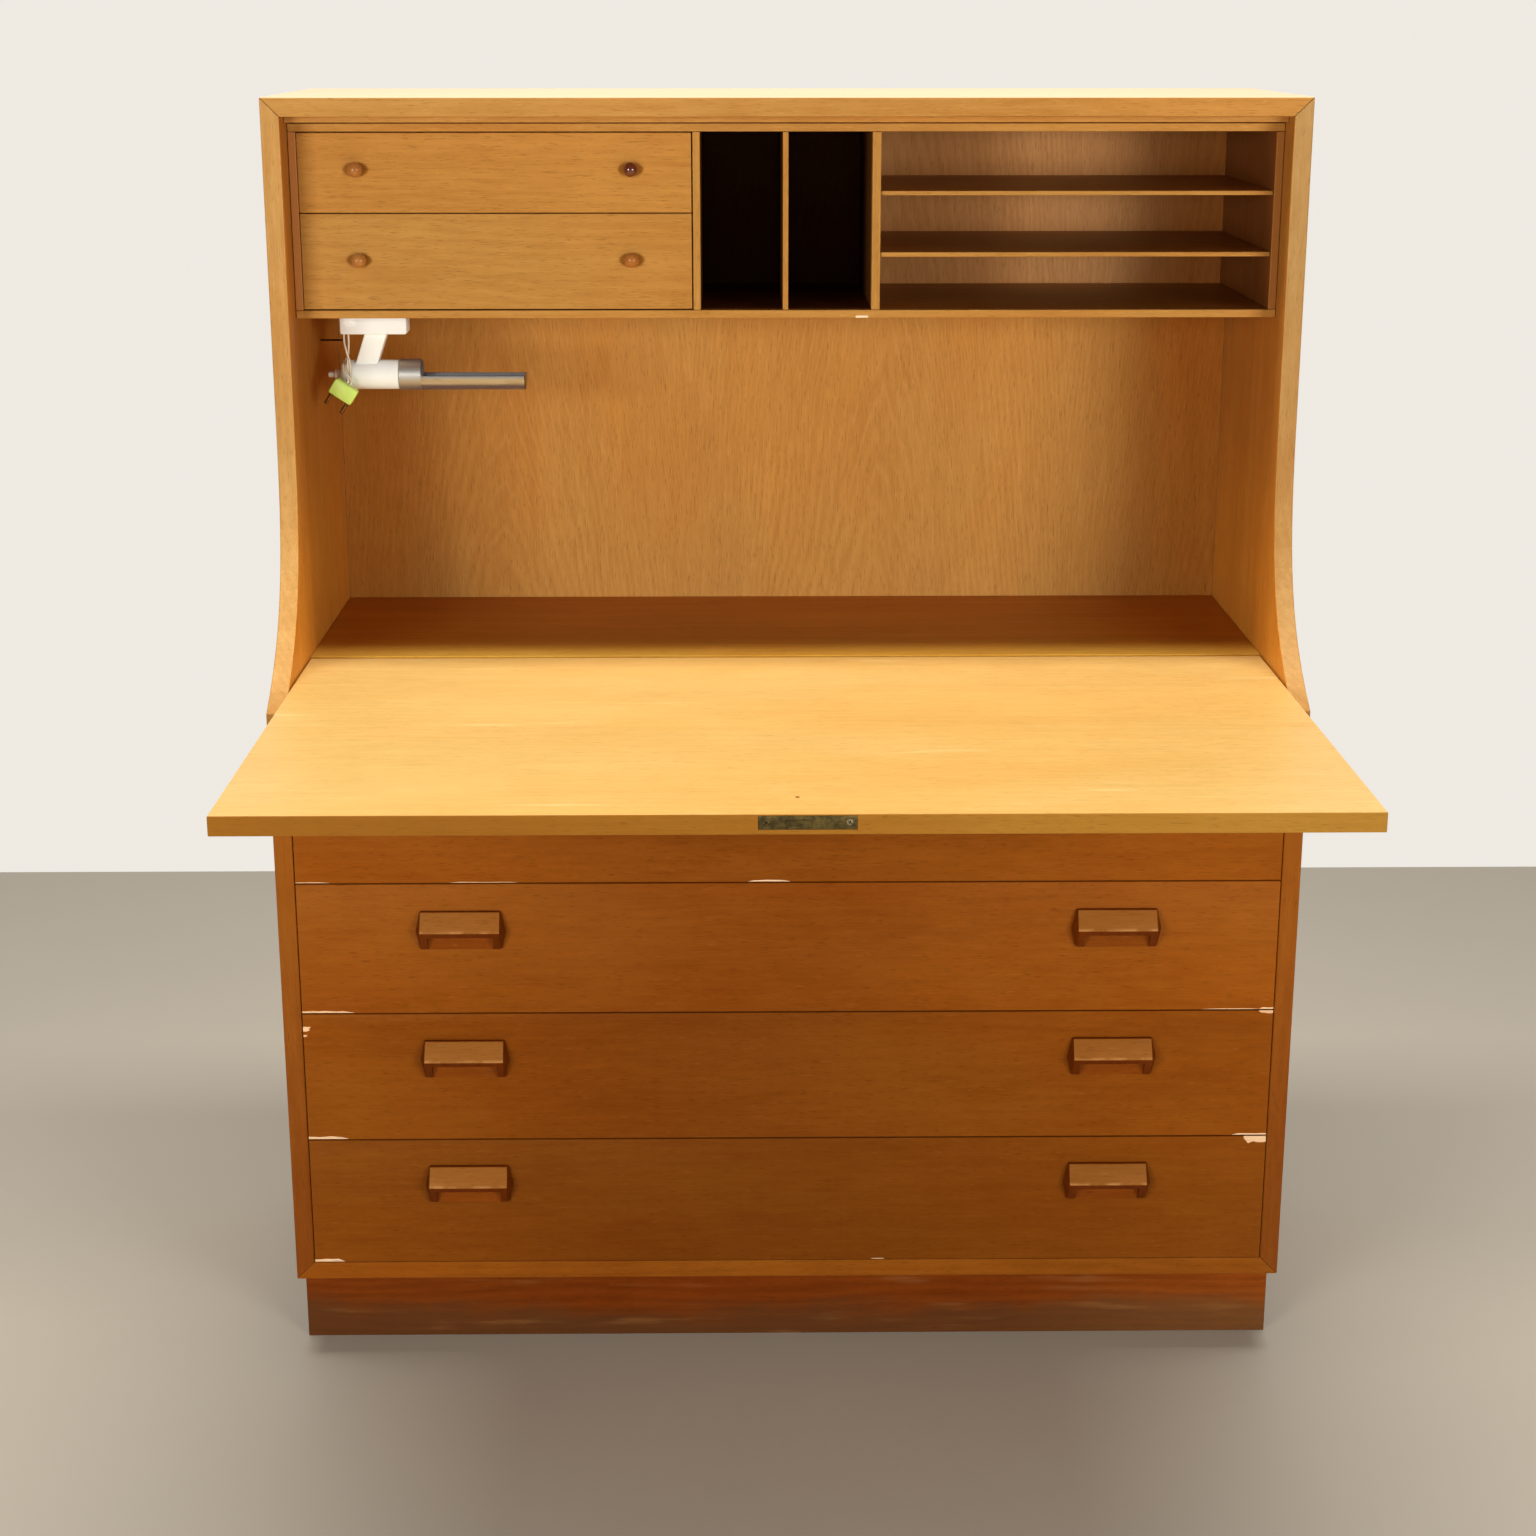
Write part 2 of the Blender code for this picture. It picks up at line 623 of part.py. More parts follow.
def make_flap():
    pivot = new_empty("flap_pivot", ROOT, PIVOT)
    half = FLAP_THICKNESS / 2
    outline = [(-FLAP_REACH, half), (-FLAP_REACH, -half), *arc((0, 0), half, -90, 90, 10)]
    flap = outline_plate(outline, 2 * FLAP_HALF_WIDTH)
    finish_piece(flap, "flap", TEAK_FLAP, pivot, PIVOT)
    flap.rotation_euler = SIDE_ON
    ease_edges(flap, 0.0008)
    for name, side in (("left", -1), ("right", 1)):
        hole = cylinder_object(PIN_HOLE_RADIUS, 2 * (PIN_IN_FLAP + GAP), (1, 0, 0))
        as_cutter(hole, "flap_pin_hole_" + name, pivot, (side * FLAP_HALF_WIDTH, PIVOT.y, PIVOT.z))
        cut(flap, hole)
    cut(flap, front_edge_block("lock_recess", LOCK_PLATE_X, LOCK_PLATE_Z, LOCK_PLATE_THICKNESS, GAP, pivot))
    bolt_x = (-BOLT_WIDTH / 2, BOLT_WIDTH / 2)
    bolt_z = (BOLT_Z - BOLT_HEIGHT / 2, BOLT_Z + BOLT_HEIGHT / 2)
    cut(flap, front_edge_block("bolt_pocket", bolt_x, bolt_z, BOLT_LENGTH, 0.0005, pivot))
    keyhole_y = FLAP_FRONT + KEYHOLE_SETBACK
    keyhole = cylinder_object(KEYHOLE_RADIUS, 0.030, (0, 0, 1), 12)
    as_cutter(keyhole, "keyhole", pivot, (0, keyhole_y, PIVOT.z))
    cut(flap, keyhole)
    entry = cylinder_object(KEY_ENTRY_RADIUS, 0.020, (0, 0, 1), 16)
    as_cutter(entry, "key_entry", pivot, (0, keyhole_y, PIVOT.z - FLAP_THICKNESS / 2))
    cut(flap, entry)
    plate = board("lock_plate", (LOCK_PLATE_X[0], FLAP_FRONT, LOCK_PLATE_Z[0]),
                  (LOCK_PLATE_X[1], FLAP_FRONT + LOCK_PLATE_THICKNESS, LOCK_PLATE_Z[1]),
                  OLD_STEEL, pivot, ease=0)
    cut(plate, front_edge_block("bolt_slot", bolt_x, bolt_z, 0.003, GAP, pivot))
    board("lock_bolt", (bolt_x[0], FLAP_FRONT, bolt_z[0]), (bolt_x[1], FLAP_FRONT + BOLT_LENGTH, bolt_z[1]),
          OLD_STEEL, pivot, ease=0)


# Lamp

def make_lamp():
    base = board("lamp_bracket", (LAMP_BASE_X[0], LAMP_BASE_Y[0], LAMP_BASE_FOOT),
                 (LAMP_BASE_X[1], LAMP_BASE_Y[1], UNIT_BOTTOM - GAP), LAMP_ENAMEL, ROOT, ease=0.003)
    neck_top = LAMP_BASE_FOOT + 0.010
    neck_height = neck_top - LAMP_Z
    neck = cube_object((NECK_WIDTH, NECK_DEPTH, neck_height))
    neck.data.transform(Matrix(((1, 0, NECK_SHEAR, 0), (0, 1, 0, 0), (0, 0, 1, 0), (0, 0, 0, 1))))
    neck_middle = neck_top - neck_height / 2
    neck_x = NECK_TOP_X + NECK_SHEAR * (neck_middle - LAMP_BASE_FOOT)
    as_cutter(neck, "neck", ROOT, (neck_x, LAMP_Y, neck_middle))
    cut(base, neck, 'UNION')
    saddle = cylinder_object(HOUSING_RADIUS + GAP, 0.120, (1, 0, 0), 32)
    as_cutter(saddle, "saddle", ROOT, (neck_x, LAMP_Y, LAMP_Z))
    cut(base, saddle)
    left, right = HOUSING_X
    hole_depth = BUTTON_INSIDE + BUTTON_TRAVEL + GAP
    hole_radius = BUTTON_RADIUS + GAP
    nut = left - NUT_END
    rim = arc((HOUSING_RADIUS - 0.003, -0.003), 0.003, 90, 0, 4)
    profile = [(0, nut - hole_depth), (hole_radius, nut - hole_depth), (hole_radius, nut), (NUT_RADIUS, nut),
               (NUT_RADIUS, 0), *rim, (HOUSING_RADIUS, left - right), (0, left - right)]
    axis_left = (left, LAMP_Y, LAMP_Z)
    turned("lamp_housing", profile, LAMP_ENAMEL, ROOT, axis_left, LEFT_UP, steps=32)
    button_length = BUTTON_INSIDE + NUT_END - BUTTON_END
    button_profile = [(0, button_length), (0.0022, button_length), (BUTTON_RADIUS, button_length - 0.0008),
                      (BUTTON_RADIUS, 0), (0, 0)]
    turned("switch_button", button_profile, LAMP_ENAMEL, ROOT, (BUTTON_END + button_length, LAMP_Y, LAMP_Z),
           LEFT_UP, steps=16)
    make_reflector(right + GAP)


def make_reflector(left):
    """A thin tube, closed at its right end, whose top half is cut away beyond its collar."""
    length = REFLECTOR_END - left
    inner = REFLECTOR_RADIUS - REFLECTOR_WALL
    floor = REFLECTOR_WALL - length
    profile = [(0, floor), (inner, floor), (inner, 0), (REFLECTOR_RADIUS, 0), (REFLECTOR_RADIUS, -length),
               (0, -length)]
    obj = turned("lamp_reflector", profile, CHROME, ROOT, (left, LAMP_Y, LAMP_Z), LEFT_UP, steps=32)
    opening = block_cutter("reflector_opening", (COLLAR_END, LAMP_Y - 0.03, LAMP_Z),
                           (REFLECTOR_END + 0.03, LAMP_Y + 0.03, LAMP_Z + 0.03), ROOT)
    cut(obj, opening)


def flex_route(start_x, winding_x):
    """One strand's route: down from the bracket, almost once round the housing, then to the plug."""
    front = LAMP_Y - FLEX_WIND_RADIUS
    side = 1 if winding_x > start_x else -1
    cross_y = front - side * FLEX_CROSSING
    points = [Vector((start_x, front, LAMP_BASE_FOOT - GAP)),
              Vector((start_x, front, LAMP_BASE_FOOT - 0.008)),
              Vector(((start_x + winding_x) / 2, cross_y, LAMP_BASE_FOOT - 0.019)),
              Vector((winding_x, front, LAMP_BASE_FOOT - 0.030))]
    for i in range(FLEX_POINTS_PER_TURN - 1):
        turn = i / FLEX_POINTS_PER_TURN
        angle = 2 * math.pi * turn
        points.append(Vector((winding_x - 2 * FLEX_LAY * turn, LAMP_Y - FLEX_WIND_RADIUS * math.cos(angle),
                              LAMP_Z - FLEX_WIND_RADIUS * math.sin(angle))))
    points.append(Vector((winding_x - 2 * FLEX_LAY, front - FLEX_LIFT, LAMP_Z + FLEX_WIND_RADIUS / 2)))
    up = Vector((math.sin(PLUG_TILT), 0, math.cos(PLUG_TILT)))
    across = Vector((math.cos(PLUG_TILT), 0, -math.sin(PLUG_TILT)))
    shift = math.copysign(FLEX_PLUG_SPREAD / 2, winding_x - FLEX_BAND_LEFT - 2.5 * FLEX_LAY)
    top = PLUG_CENTRE + up * (PLUG_SIZE.z / 2 + 1.5 * GAP) + across * shift
    points.append(top + up * 0.004)
    points.append(top)
    return smooth_route(points, FLEX_READINGS)


def make_flex_and_plug():
    wire("flex_a", flex_route(-0.4617, FLEX_BAND_LEFT + 2 * FLEX_LAY), FLEX_RADIUS, FLEX_PLASTIC, ROOT)
    wire("flex_b", flex_route(-0.4664, FLEX_BAND_LEFT + 3 * FLEX_LAY), FLEX_RADIUS, FLEX_PLASTIC, ROOT)
    plug = new_empty("plug", ROOT, PLUG_CENTRE)
    plug.rotation_euler = (0, PLUG_TILT, 0)
    body = cube_object(PLUG_SIZE)
    finish_piece(body, "plug_body", PLUG_PLASTIC, plug, PLUG_CENTRE)
    ease_edges(body, 0.0020)
    for name, x in (("plug_pin_left", -PLUG_PIN_SPREAD), ("plug_pin_right", PLUG_PIN_SPREAD)):
        pin = cylinder_object(PLUG_PIN_RADIUS, PLUG_PIN_LENGTH, (0, 0, 1), 12)
        local_z = -PLUG_SIZE.z / 2 - GAP - PLUG_PIN_LENGTH / 2
        finish_piece(pin, name, PIN_BRASS, plug, PLUG_CENTRE + Vector((x, 0, local_z)))


def make_hook():
    wall = -INNER + GAP
    points = [Vector((wall, HOOK_Y, HOOK_Z)), Vector((wall + HOOK_REACH * 0.5, HOOK_Y, HOOK_Z)),
              Vector((wall + HOOK_REACH - 0.004, HOOK_Y, HOOK_Z)),
              Vector((wall + HOOK_REACH - 0.001, HOOK_Y, HOOK_Z + 0.001)),
              Vector((wall + HOOK_REACH, HOOK_Y, HOOK_Z + 0.003)),
              Vector((wall + HOOK_REACH, HOOK_Y, HOOK_Z + HOOK_TIP))]
    wire("wall_hook", points, HOOK_RADIUS, OLD_STEEL, ROOT)


ROOT = None
ROOT = new_empty("desk", None)
ROOT.location = (0, -(FLAP_FRONT + DEPTH) / 2, 0)
make_case()
make_plinth()
make_unit()
for drawer_level in SMALL_DRAWER_Z:
    make_small_drawer(drawer_level)
for drawer_number in range(1, DRAWER_COUNT + 1):
    make_wide_drawer(drawer_number)
make_flap()
make_lamp()
make_flex_and_plug()
make_hook()
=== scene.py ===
import math
import random

import bmesh
import bpy
from mathutils import Matrix, Vector


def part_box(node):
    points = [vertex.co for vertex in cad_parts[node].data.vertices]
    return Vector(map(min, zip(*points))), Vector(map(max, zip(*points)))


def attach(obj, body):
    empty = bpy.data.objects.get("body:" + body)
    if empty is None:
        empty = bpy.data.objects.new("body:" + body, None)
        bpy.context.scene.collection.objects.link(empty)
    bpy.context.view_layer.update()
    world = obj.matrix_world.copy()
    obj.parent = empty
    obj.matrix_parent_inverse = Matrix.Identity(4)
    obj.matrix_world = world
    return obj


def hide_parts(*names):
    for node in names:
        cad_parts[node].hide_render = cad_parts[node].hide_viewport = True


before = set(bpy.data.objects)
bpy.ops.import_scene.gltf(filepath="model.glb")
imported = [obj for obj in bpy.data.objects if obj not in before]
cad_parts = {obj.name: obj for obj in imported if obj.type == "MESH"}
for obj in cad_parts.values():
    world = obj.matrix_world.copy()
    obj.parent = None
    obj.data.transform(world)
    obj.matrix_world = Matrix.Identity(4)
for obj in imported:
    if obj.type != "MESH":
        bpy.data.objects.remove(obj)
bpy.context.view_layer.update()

# Camera, at the height and distance of a standing person
CAMERA_PLACE = (-0.0511, -2.5554, 1.3854)
CAMERA_PITCH = math.radians(73.88)
CAMERA_YAW = math.radians(-0.67)
CAMERA_LENS = 60.9

# Lights: power in watts, place, size, and where the side lights point
LAMP_COLOUR = (1.0, 0.96, 0.90)
CEILING_POWER = 95
CEILING_PLACE = (0.0, 0.01, 3.2)
CEILING_SIZE = (2.6, 0.38)
SIDE_POWER = 64
SIDE_PLACE = (2.0, -3.0, 1.25)
SIDE_SIZE = (1.2, 0.9)
SIDE_TARGET = (0.0, 0.0, 0.9)

# The room's and the backdrop's brightness, the directions between which one becomes the other, the floor
AMBIENT = 0.15
BACKDROP = 0.86
BACKDROP_EDGE = (0.25, 0.60)
FLOOR_NEAR = -6.0
FLOOR_FAR = 1.62
FLOOR_HALF = 5.0

# Clear space between neighbouring pieces
GAP = 0.0003
SIDES = ("left", "right")

# Wood figure: the spacing of its growth lines, the shape of its arches, the back's veneer leaves (where
# one starts and how wide it is), and the lacquer's gloss
LINE_PITCH = 0.011
ARCH_SHARPNESS = 1.6
ARCH_SPREAD = 300.0
ARCH_RISE = 16.0
BACK_LEAF = (-0.318, 0.430)
WOOD_GLOSS = 0.18

# How a turned shape's axis is laid over
TOWARDS_FRONT = Matrix.Rotation(math.pi / 2, 3, 'X')
TOWARDS_LEFT = Matrix.Rotation(-math.pi / 2, 3, 'Y')

# The axis that a board's grain follows
GRAIN_X = (1, 0, 0)
GRAIN_Y = (0, 1, 0)
GRAIN_Z = (0, 0, 1)

# Oak tones: the light and the dark colour of each finish
OAK_FRAME = ((0.55, 0.290, 0.082), (0.42, 0.194, 0.043))
# The top's upper face: a paler painted sheen
OAK_TOP_SHEEN = ((0.78, 0.52, 0.33), (0.66, 0.42, 0.25))
OAK_SMALL = ((0.535, 0.284, 0.074), (0.415, 0.196, 0.044))
OAK_FLAP = ((0.69, 0.450, 0.152), (0.595, 0.367, 0.108))
# A shaded copy of the flap's oak for the desk boards, brought up towards the front: painted shadow
OAK_DESK_SHADED = ((0.54, 0.260, 0.030), (0.42, 0.175, 0.016))
OAK_BACK = ((0.58, 0.310, 0.084), (0.44, 0.208, 0.048))
# The drawers, the rail, the bottom board and the plinth are painted darker, partly as painted shade under the
# flap and towards the floor
OAK_DRAWER = ((0.325, 0.096, 0.0075), (0.245, 0.061, 0.0035))
OAK_LOW = ((0.30, 0.091, 0.0080), (0.214, 0.057, 0.0040))
OAK_PLINTH = ((0.195, 0.041, 0.0040), (0.130, 0.024, 0.0022))
OAK_PULL = ((0.330, 0.134, 0.0300), (0.262, 0.097, 0.0180))
OAK_KNOB = ((0.46, 0.190, 0.045), (0.34, 0.120, 0.024))
# The pulls' dark end grain, also painted onto their tops and the slopes under the lip as painted shade; then
# the hollow's back wall, painted darker than the lip as painted shade
OAK_PULL_ENDS_AND_SHADE = ((0.15, 0.030, 0.0020), (0.10, 0.018, 0.0012))
OAK_PULL_HOLLOW = ((0.24, 0.060, 0.0050), (0.17, 0.038, 0.0030))
# A shaded copy of the pigeonhole oak for the unit's sides: painted shade
OAK_INSIDE_SHADED = ((0.22, 0.070, 0.016), (0.15, 0.042, 0.008))
# Each drawer's tone, as a share of the top one's: the lower drawers are painted darker, as painted shade
# towards the floor
DRAWER_SHADE = {1: 1.0, 2: 1.0, 3: 0.87, 4: 0.79}
BARE_WOOD = ((0.88, 0.66, 0.44), (0.76, 0.50, 0.30))
PINE = ((0.72, 0.50, 0.27), (0.58, 0.36, 0.16))


# ---- Materials ----

class Shading:
    """A material whose nodes are added one after another."""

    def __init__(self, name):
        self.material = bpy.data.materials.new(name)
        self.material.use_nodes = True
        self.tree = self.material.node_tree
        self.shader = self.tree.nodes["Principled BSDF"]

    def node(self, kind, inputs=None, **settings):
        made = self.tree.nodes.new(kind)
        for key, value in settings.items():
            setattr(made, key, value)
        for key, value in (inputs or {}).items():
            self.plug(made.inputs[key], value)
        return made

    def plug(self, socket, value):
        if isinstance(value, bpy.types.NodeSocket):
            self.tree.links.new(value, socket)
        else:
            socket.default_value = value

    def math(self, operation, a, b=0.0):
        return self.node("ShaderNodeMath", {0: a, 1: b}, operation=operation).outputs[0]

    def plus(self, a, b):
        return self.math('ADD', a, b)

    def times(self, a, b):
        return self.math('MULTIPLY', a, b)

    def place(self, stretch, shift=(0, 0, 0)):
        """The piece's own coordinates, in metres, stretched and shifted."""
        coordinates = self.node("ShaderNodeTexCoord").outputs["Object"]
        return self.node("ShaderNodeMapping", {"Vector": coordinates, "Location": shift,
                                               "Scale": stretch}).outputs[0]

    def axis(self, axis):
        """One of the piece's own coordinates, in metres."""
        return self.node("ShaderNodeSeparateXYZ", {0: self.place((1, 1, 1))}).outputs[axis]

    def noise(self, stretch, shift=(0, 0, 0), detail=2.0, roughness=0.5):
        sockets = {"Vector": self.place(stretch, shift), "Scale": 1.0, "Detail": detail,
                   "Roughness": roughness}
        return self.node("ShaderNodeTexNoise", sockets).outputs["Fac"]

    def ramp(self, value, low, high):
        """Zero at low, one at high, smooth between; low may be the larger of the two."""
        return self.node("ShaderNodeMapRange", {"Value": value, "From Min": low, "From Max": high},
                         interpolation_type='SMOOTHSTEP').outputs["Result"]

    def fade(self, axis, low, high):
        return self.ramp(self.axis(axis), low, high)

    def mix(self, amount, a, b, blend='MIX'):
        made = self.node("ShaderNodeMix", data_type='RGBA', blend_type=blend)
        self.plug(made.inputs[0], amount)
        for socket, value in ((made.inputs[6], a), (made.inputs[7], b)):
            self.plug(socket, value if isinstance(value, bpy.types.NodeSocket) else (*value, 1.0))
        return made.outputs[2]

    def tint(self, amount, colour, factors):
        return self.mix(amount, colour, factors, 'MULTIPLY')

    def bump(self, height, strength, distance):
        made = self.node("ShaderNodeBump", {"Height": height, "Strength": strength, "Distance": distance})
        self.plug(self.shader.inputs["Normal"], made.outputs[0])

    def finish(self, colour, roughness, **others):
        """Give the shader its inputs; others are named as in Blender, with _ for each space."""
        self.plug(self.shader.inputs["Base Color"], colour)
        self.plug(self.shader.inputs["Roughness"], roughness)
        for key, value in others.items():
            self.plug(self.shader.inputs[key.replace("_", " ")], value)
        return self.material


def grain_noise(s, grain, shift, along, across, **settings):
    """Noise drawn out along the grain."""
    return s.noise(tuple(along if part else across for part in grain), shift, **settings)


def growth_lines(s, grain, shift, leaf):
    """The figure: near-parallel lines along the grain, or pointed arches repeated in every leaf of veneer."""
    along = s.axis(grain.index(1))
    across = s.plus(*(s.axis(i) for i in range(3) if not grain[i]))
    wander = grain_noise(s, grain, shift, 1.6, 6.5, detail=3.0)
    ragged = grain_noise(s, grain, shift, 9.0, 110.0)
    if leaf:
        aside = s.math('PINGPONG', s.math('SUBTRACT', across, leaf[0]), leaf[1] / 2)
        lines = s.times(s.math('POWER', aside, ARCH_SHARPNESS), ARCH_SPREAD)
        lines = s.plus(lines, s.times(along, ARCH_RISE))
    else:
        lines = s.times(across, 1 / LINE_PITCH)
    lines = s.plus(lines, s.times(wander, 7.0))
    lines = s.plus(lines, s.times(ragged, 0.9))
    return s.times(s.math('PINGPONG', lines, 0.5), 2.0)


def oak(name, tones, grain, seed, figure=0.25, leaf=None, rough=0.42, wear=None, **coating):
    """Lacquered oak veneer: clouds of tone, growth lines, fibres, short dark pores and pale flecks."""
    light, dark = tones
    s = Shading(name)
    shift = (seed * 3.71, seed * 1.93, seed * 2.57)
    lines = growth_lines(s, grain, shift, leaf)
    fibres = grain_noise(s, grain, shift, 14.0, 760.0, detail=3.0, roughness=0.65)
    mottle = grain_noise(s, grain, shift, 24.0, 110.0, detail=3.0, roughness=0.6)
    streaks = grain_noise(s, grain, shift, 2.2, 50.0, detail=3.0, roughness=0.6)
    cloud = grain_noise(s, grain, shift, 3.2, 8.0, detail=4.0, roughness=0.55)
    level = s.times(lines, figure)
    for layer, weight in ((fibres, 1.0), (mottle, 1.0), (streaks, 0.7), (cloud, 1.6)):
        level = s.plus(level, s.times(layer, weight))
    middle = figure / 2 + (1.0 + 1.0 + 0.7 + 1.6) / 2
    wood = s.mix(s.ramp(level, middle - 0.75, middle + 0.75), light, dark)
    redder = grain_noise(s, grain, tuple(part + 9.0 for part in shift), 2.1, 5.5, detail=3.0)
    wood = s.tint(s.ramp(redder, 0.36, 0.66), wood, (1.02, 0.93, 0.82))
    pores = s.ramp(grain_noise(s, grain, shift, 85.0, 1000.0), 0.57, 0.72)
    wood = s.mix(s.times(pores, 0.45), wood, tuple(0.5 * part for part in dark))
    aside = tuple(part + 4.0 for part in shift)
    flecks = s.ramp(grain_noise(s, grain, aside, 60.0, 620.0), 0.62, 0.78)
    wood = s.mix(s.times(flecks, 0.4), wood, tuple(1.25 * part + 0.01 for part in light))
    if leaf:
        crest = s.times(s.math('POWER', lines, 4.0), s.ramp(cloud, 0.42, 0.60))
        wood = s.mix(s.times(crest, 0.32), wood, tuple(1.22 * part + 0.02 for part in light))
    if wear:
        wood = wear(s, wood)
    s.bump(s.math('SUBTRACT', s.times(fibres, 0.4), pores), 0.20, 0.0003)
    return s.finish(wood, s.plus(rough - 0.06, s.times(streaks, 0.14)), Specular_IOR_Level=WOOD_GLOSS,
                    Specular_Tint=(1.0, 0.55, 0.22, 1), **coating)


def enamel():
    """White stove enamel on the lamp, slightly yellowed and dusty."""
    s = Shading("lamp_enamel")
    cloud = s.noise((60, 60, 60), detail=3.0)
    speck = s.ramp(s.noise((900, 900, 900)), 0.62, 0.74)
    colour = s.mix(cloud, (0.90, 0.97, 0.99), (0.86, 0.91, 0.89))
    colour = s.mix(s.times(speck, 0.15), colour, (0.45, 0.38, 0.28))
    s.bump(s.noise((420, 420, 420)), 0.08, 0.0002)
    return s.finish(colour, s.math('MULTIPLY_ADD', cloud, 0.2), Coat_Weight=0.2)


def chrome():
    """Tarnished plating with faint lengthwise wiping marks; its collar is brushed and duller; its closed end
    is painted dark brown as painted shade.
    """
    s = Shading("lamp_chrome")
    wiped = s.noise((14, 420, 420), detail=3.0)
    stain = s.ramp(s.noise((40, 160, 160), detail=3.0), 0.45, 0.75)
    collar_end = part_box("lamp_reflector")[0].x + COLLAR_LENGTH
    collar = s.fade("X", collar_end + 0.001, collar_end - 0.001)
    colour = s.mix(stain, (0.50, 0.52, 0.56), (0.42, 0.41, 0.40))
    colour = s.mix(collar, colour, (0.50, 0.50, 0.48))
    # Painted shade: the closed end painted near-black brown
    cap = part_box("lamp_reflector")[1].x - 0.0011
    colour = s.mix(s.fade("X", cap, cap + 0.0005), colour, (0.050, 0.022, 0.010))
    roughness = s.plus(s.times(wiped, 0.08), 0.14)
    return s.finish(colour, s.plus(roughness, s.times(collar, 0.24)), Metallic=0.82)


def old_metal(name, bright, dark, rough):
    """Handled metal, dull and stained, with small brighter rubs."""
    s = Shading(name)
    stain = s.noise((140, 140, 140), detail=5.0, roughness=0.65)
    rub = s.ramp(s.noise((60, 900, 900), detail=3.0), 0.55, 0.75)
    colour = s.mix(s.ramp(stain, 0.35, 0.65), bright, dark)
    colour = s.mix(s.times(rub, 0.35), colour, tuple(min(1.0, 1.6 * part) for part in bright))
    s.bump(stain, 0.15, 0.0002)
    return s.finish(colour, s.plus(rough, s.times(stain, 0.25)), Metallic=0.85)


def plastic(name, colour, shade, rough, grain_scale):
    """Moulded plastic with a faint mottle and a fine moulded surface."""
    s = Shading(name)
    mottle = s.noise((grain_scale, grain_scale, grain_scale), detail=4.0)
    mixed = s.mix(s.ramp(mottle, 0.35, 0.7), colour, shade)
    s.bump(s.noise((1600, 1600, 1600)), 0.06, 0.0001)
    return s.finish(mixed, s.plus(rough, s.times(mottle, 0.12)))


def floor_material():
    """Pale, faintly clouded concrete."""
    s = Shading("pale_floor")
    cloud = s.noise((1.2, 1.2, 1.2), detail=5.0)
    colour = s.mix(cloud, (0.40, 0.365, 0.305), (0.48, 0.44, 0.37))
    s.bump(s.noise((90, 90, 90), detail=3.0), 0.05, 0.001)
    return s.finish(colour, s.plus(0.5, s.times(cloud, 0.2)))


# ---- Wear, painted light and painted shade: from a finish's shading and its wood colour to the new colour ----

# The painted shadow around a small knob: half its width and half its height
KNOB_SHADOW_HALF = (0.0130, 0.0066)
# The splinter under the unit's bottom board: where each end begins and where it is full
SPLINTER_ENDS = ((0.0705, 0.0720), (0.0850, 0.0830))
# How far the lock's small keyhole lies behind the flap's front edge
KEYHOLE_SETBACK = 0.0517


def top_sheen(s, wood):
    """The top's upper face is painted pale, a painted sheen of the overhead light on it; its front edge and
    underside keep their colour.
    """
    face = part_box("top_panel")[1].z
    highlit = s.fade("Z", face - 0.0012, face - 0.0004)
    # Painted highlight: the upper face's sheen, painted as a paler colour
    pale = s.mix(s.noise((3.0, 18.0, 1.0), detail=4.0), OAK_TOP_SHEEN[0], OAK_TOP_SHEEN[1])
    return s.mix(s.times(highlit, 0.85), wood, pale)


def pigeonhole_shade(s, wood):
    """Painted shade: inside the two narrow pigeonholes the wood is painted almost black."""
    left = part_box("divider_left")[0].x + 0.001
    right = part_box("divider_right")[1].x - 0.001
    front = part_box("divider_left")[0].y
    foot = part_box("unit_bottom")[0].z
    inside = s.times(s.fade("X", left, left + 0.001), s.fade("X", right, right - 0.001))
    inside = s.times(inside, s.fade("Y", front + 0.0006, front + 0.030))
    inside = s.times(inside, s.fade("Z", foot + 0.002, foot + 0.004))
    # Painted shade of the deep, narrow slots
    return s.mix(s.times(inside, 0.85), wood, (0.055, 0.008, 0.002))


def unit_side_shading(s, wood):
    """The unit's sides are painted in dark, shaded oak; their front edges are painted in lighter, lit oak,
    lighter at the left.
    """
    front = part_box("unit_side_left")[0].y
    edge = s.fade("Y", front + 0.0012, front + 0.0005)
    # Painted light on the front edges, stronger at the left
    light = s.mix(s.fade("X", -0.2, 0.2), (0.48, 0.205, 0.062), (0.36, 0.150, 0.038))
    return s.mix(edge, wood, light)


def shelf_shade(s, wood):
    """Painted shade: the shelves are darker behind their front edges."""
    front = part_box("shelf_upper")[0].y
    return s.tint(s.fade("Y", front + 0.0006, front + 0.0020), wood, (0.76, 0.60, 0.42))


def unit_bottom_shade_and_splinter(s, wood):
    """Painted shade behind the front edge and inside the pigeonholes, and one pale splinter missing under
    that edge.
    """
    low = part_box("unit_bottom")[0]
    chip = s.times(s.fade("X", *SPLINTER_ENDS[0]), s.fade("X", *SPLINTER_ENDS[1]))
    chip = s.times(chip, s.fade("Z", low.z + 0.0030, low.z + 0.0016))
    chip = s.times(chip, s.fade("Y", low.y + 0.0050, low.y + 0.0030))
    return s.mix(chip, pigeonhole_shade(s, shelf_shade(s, wood)), (0.93, 0.76, 0.55))


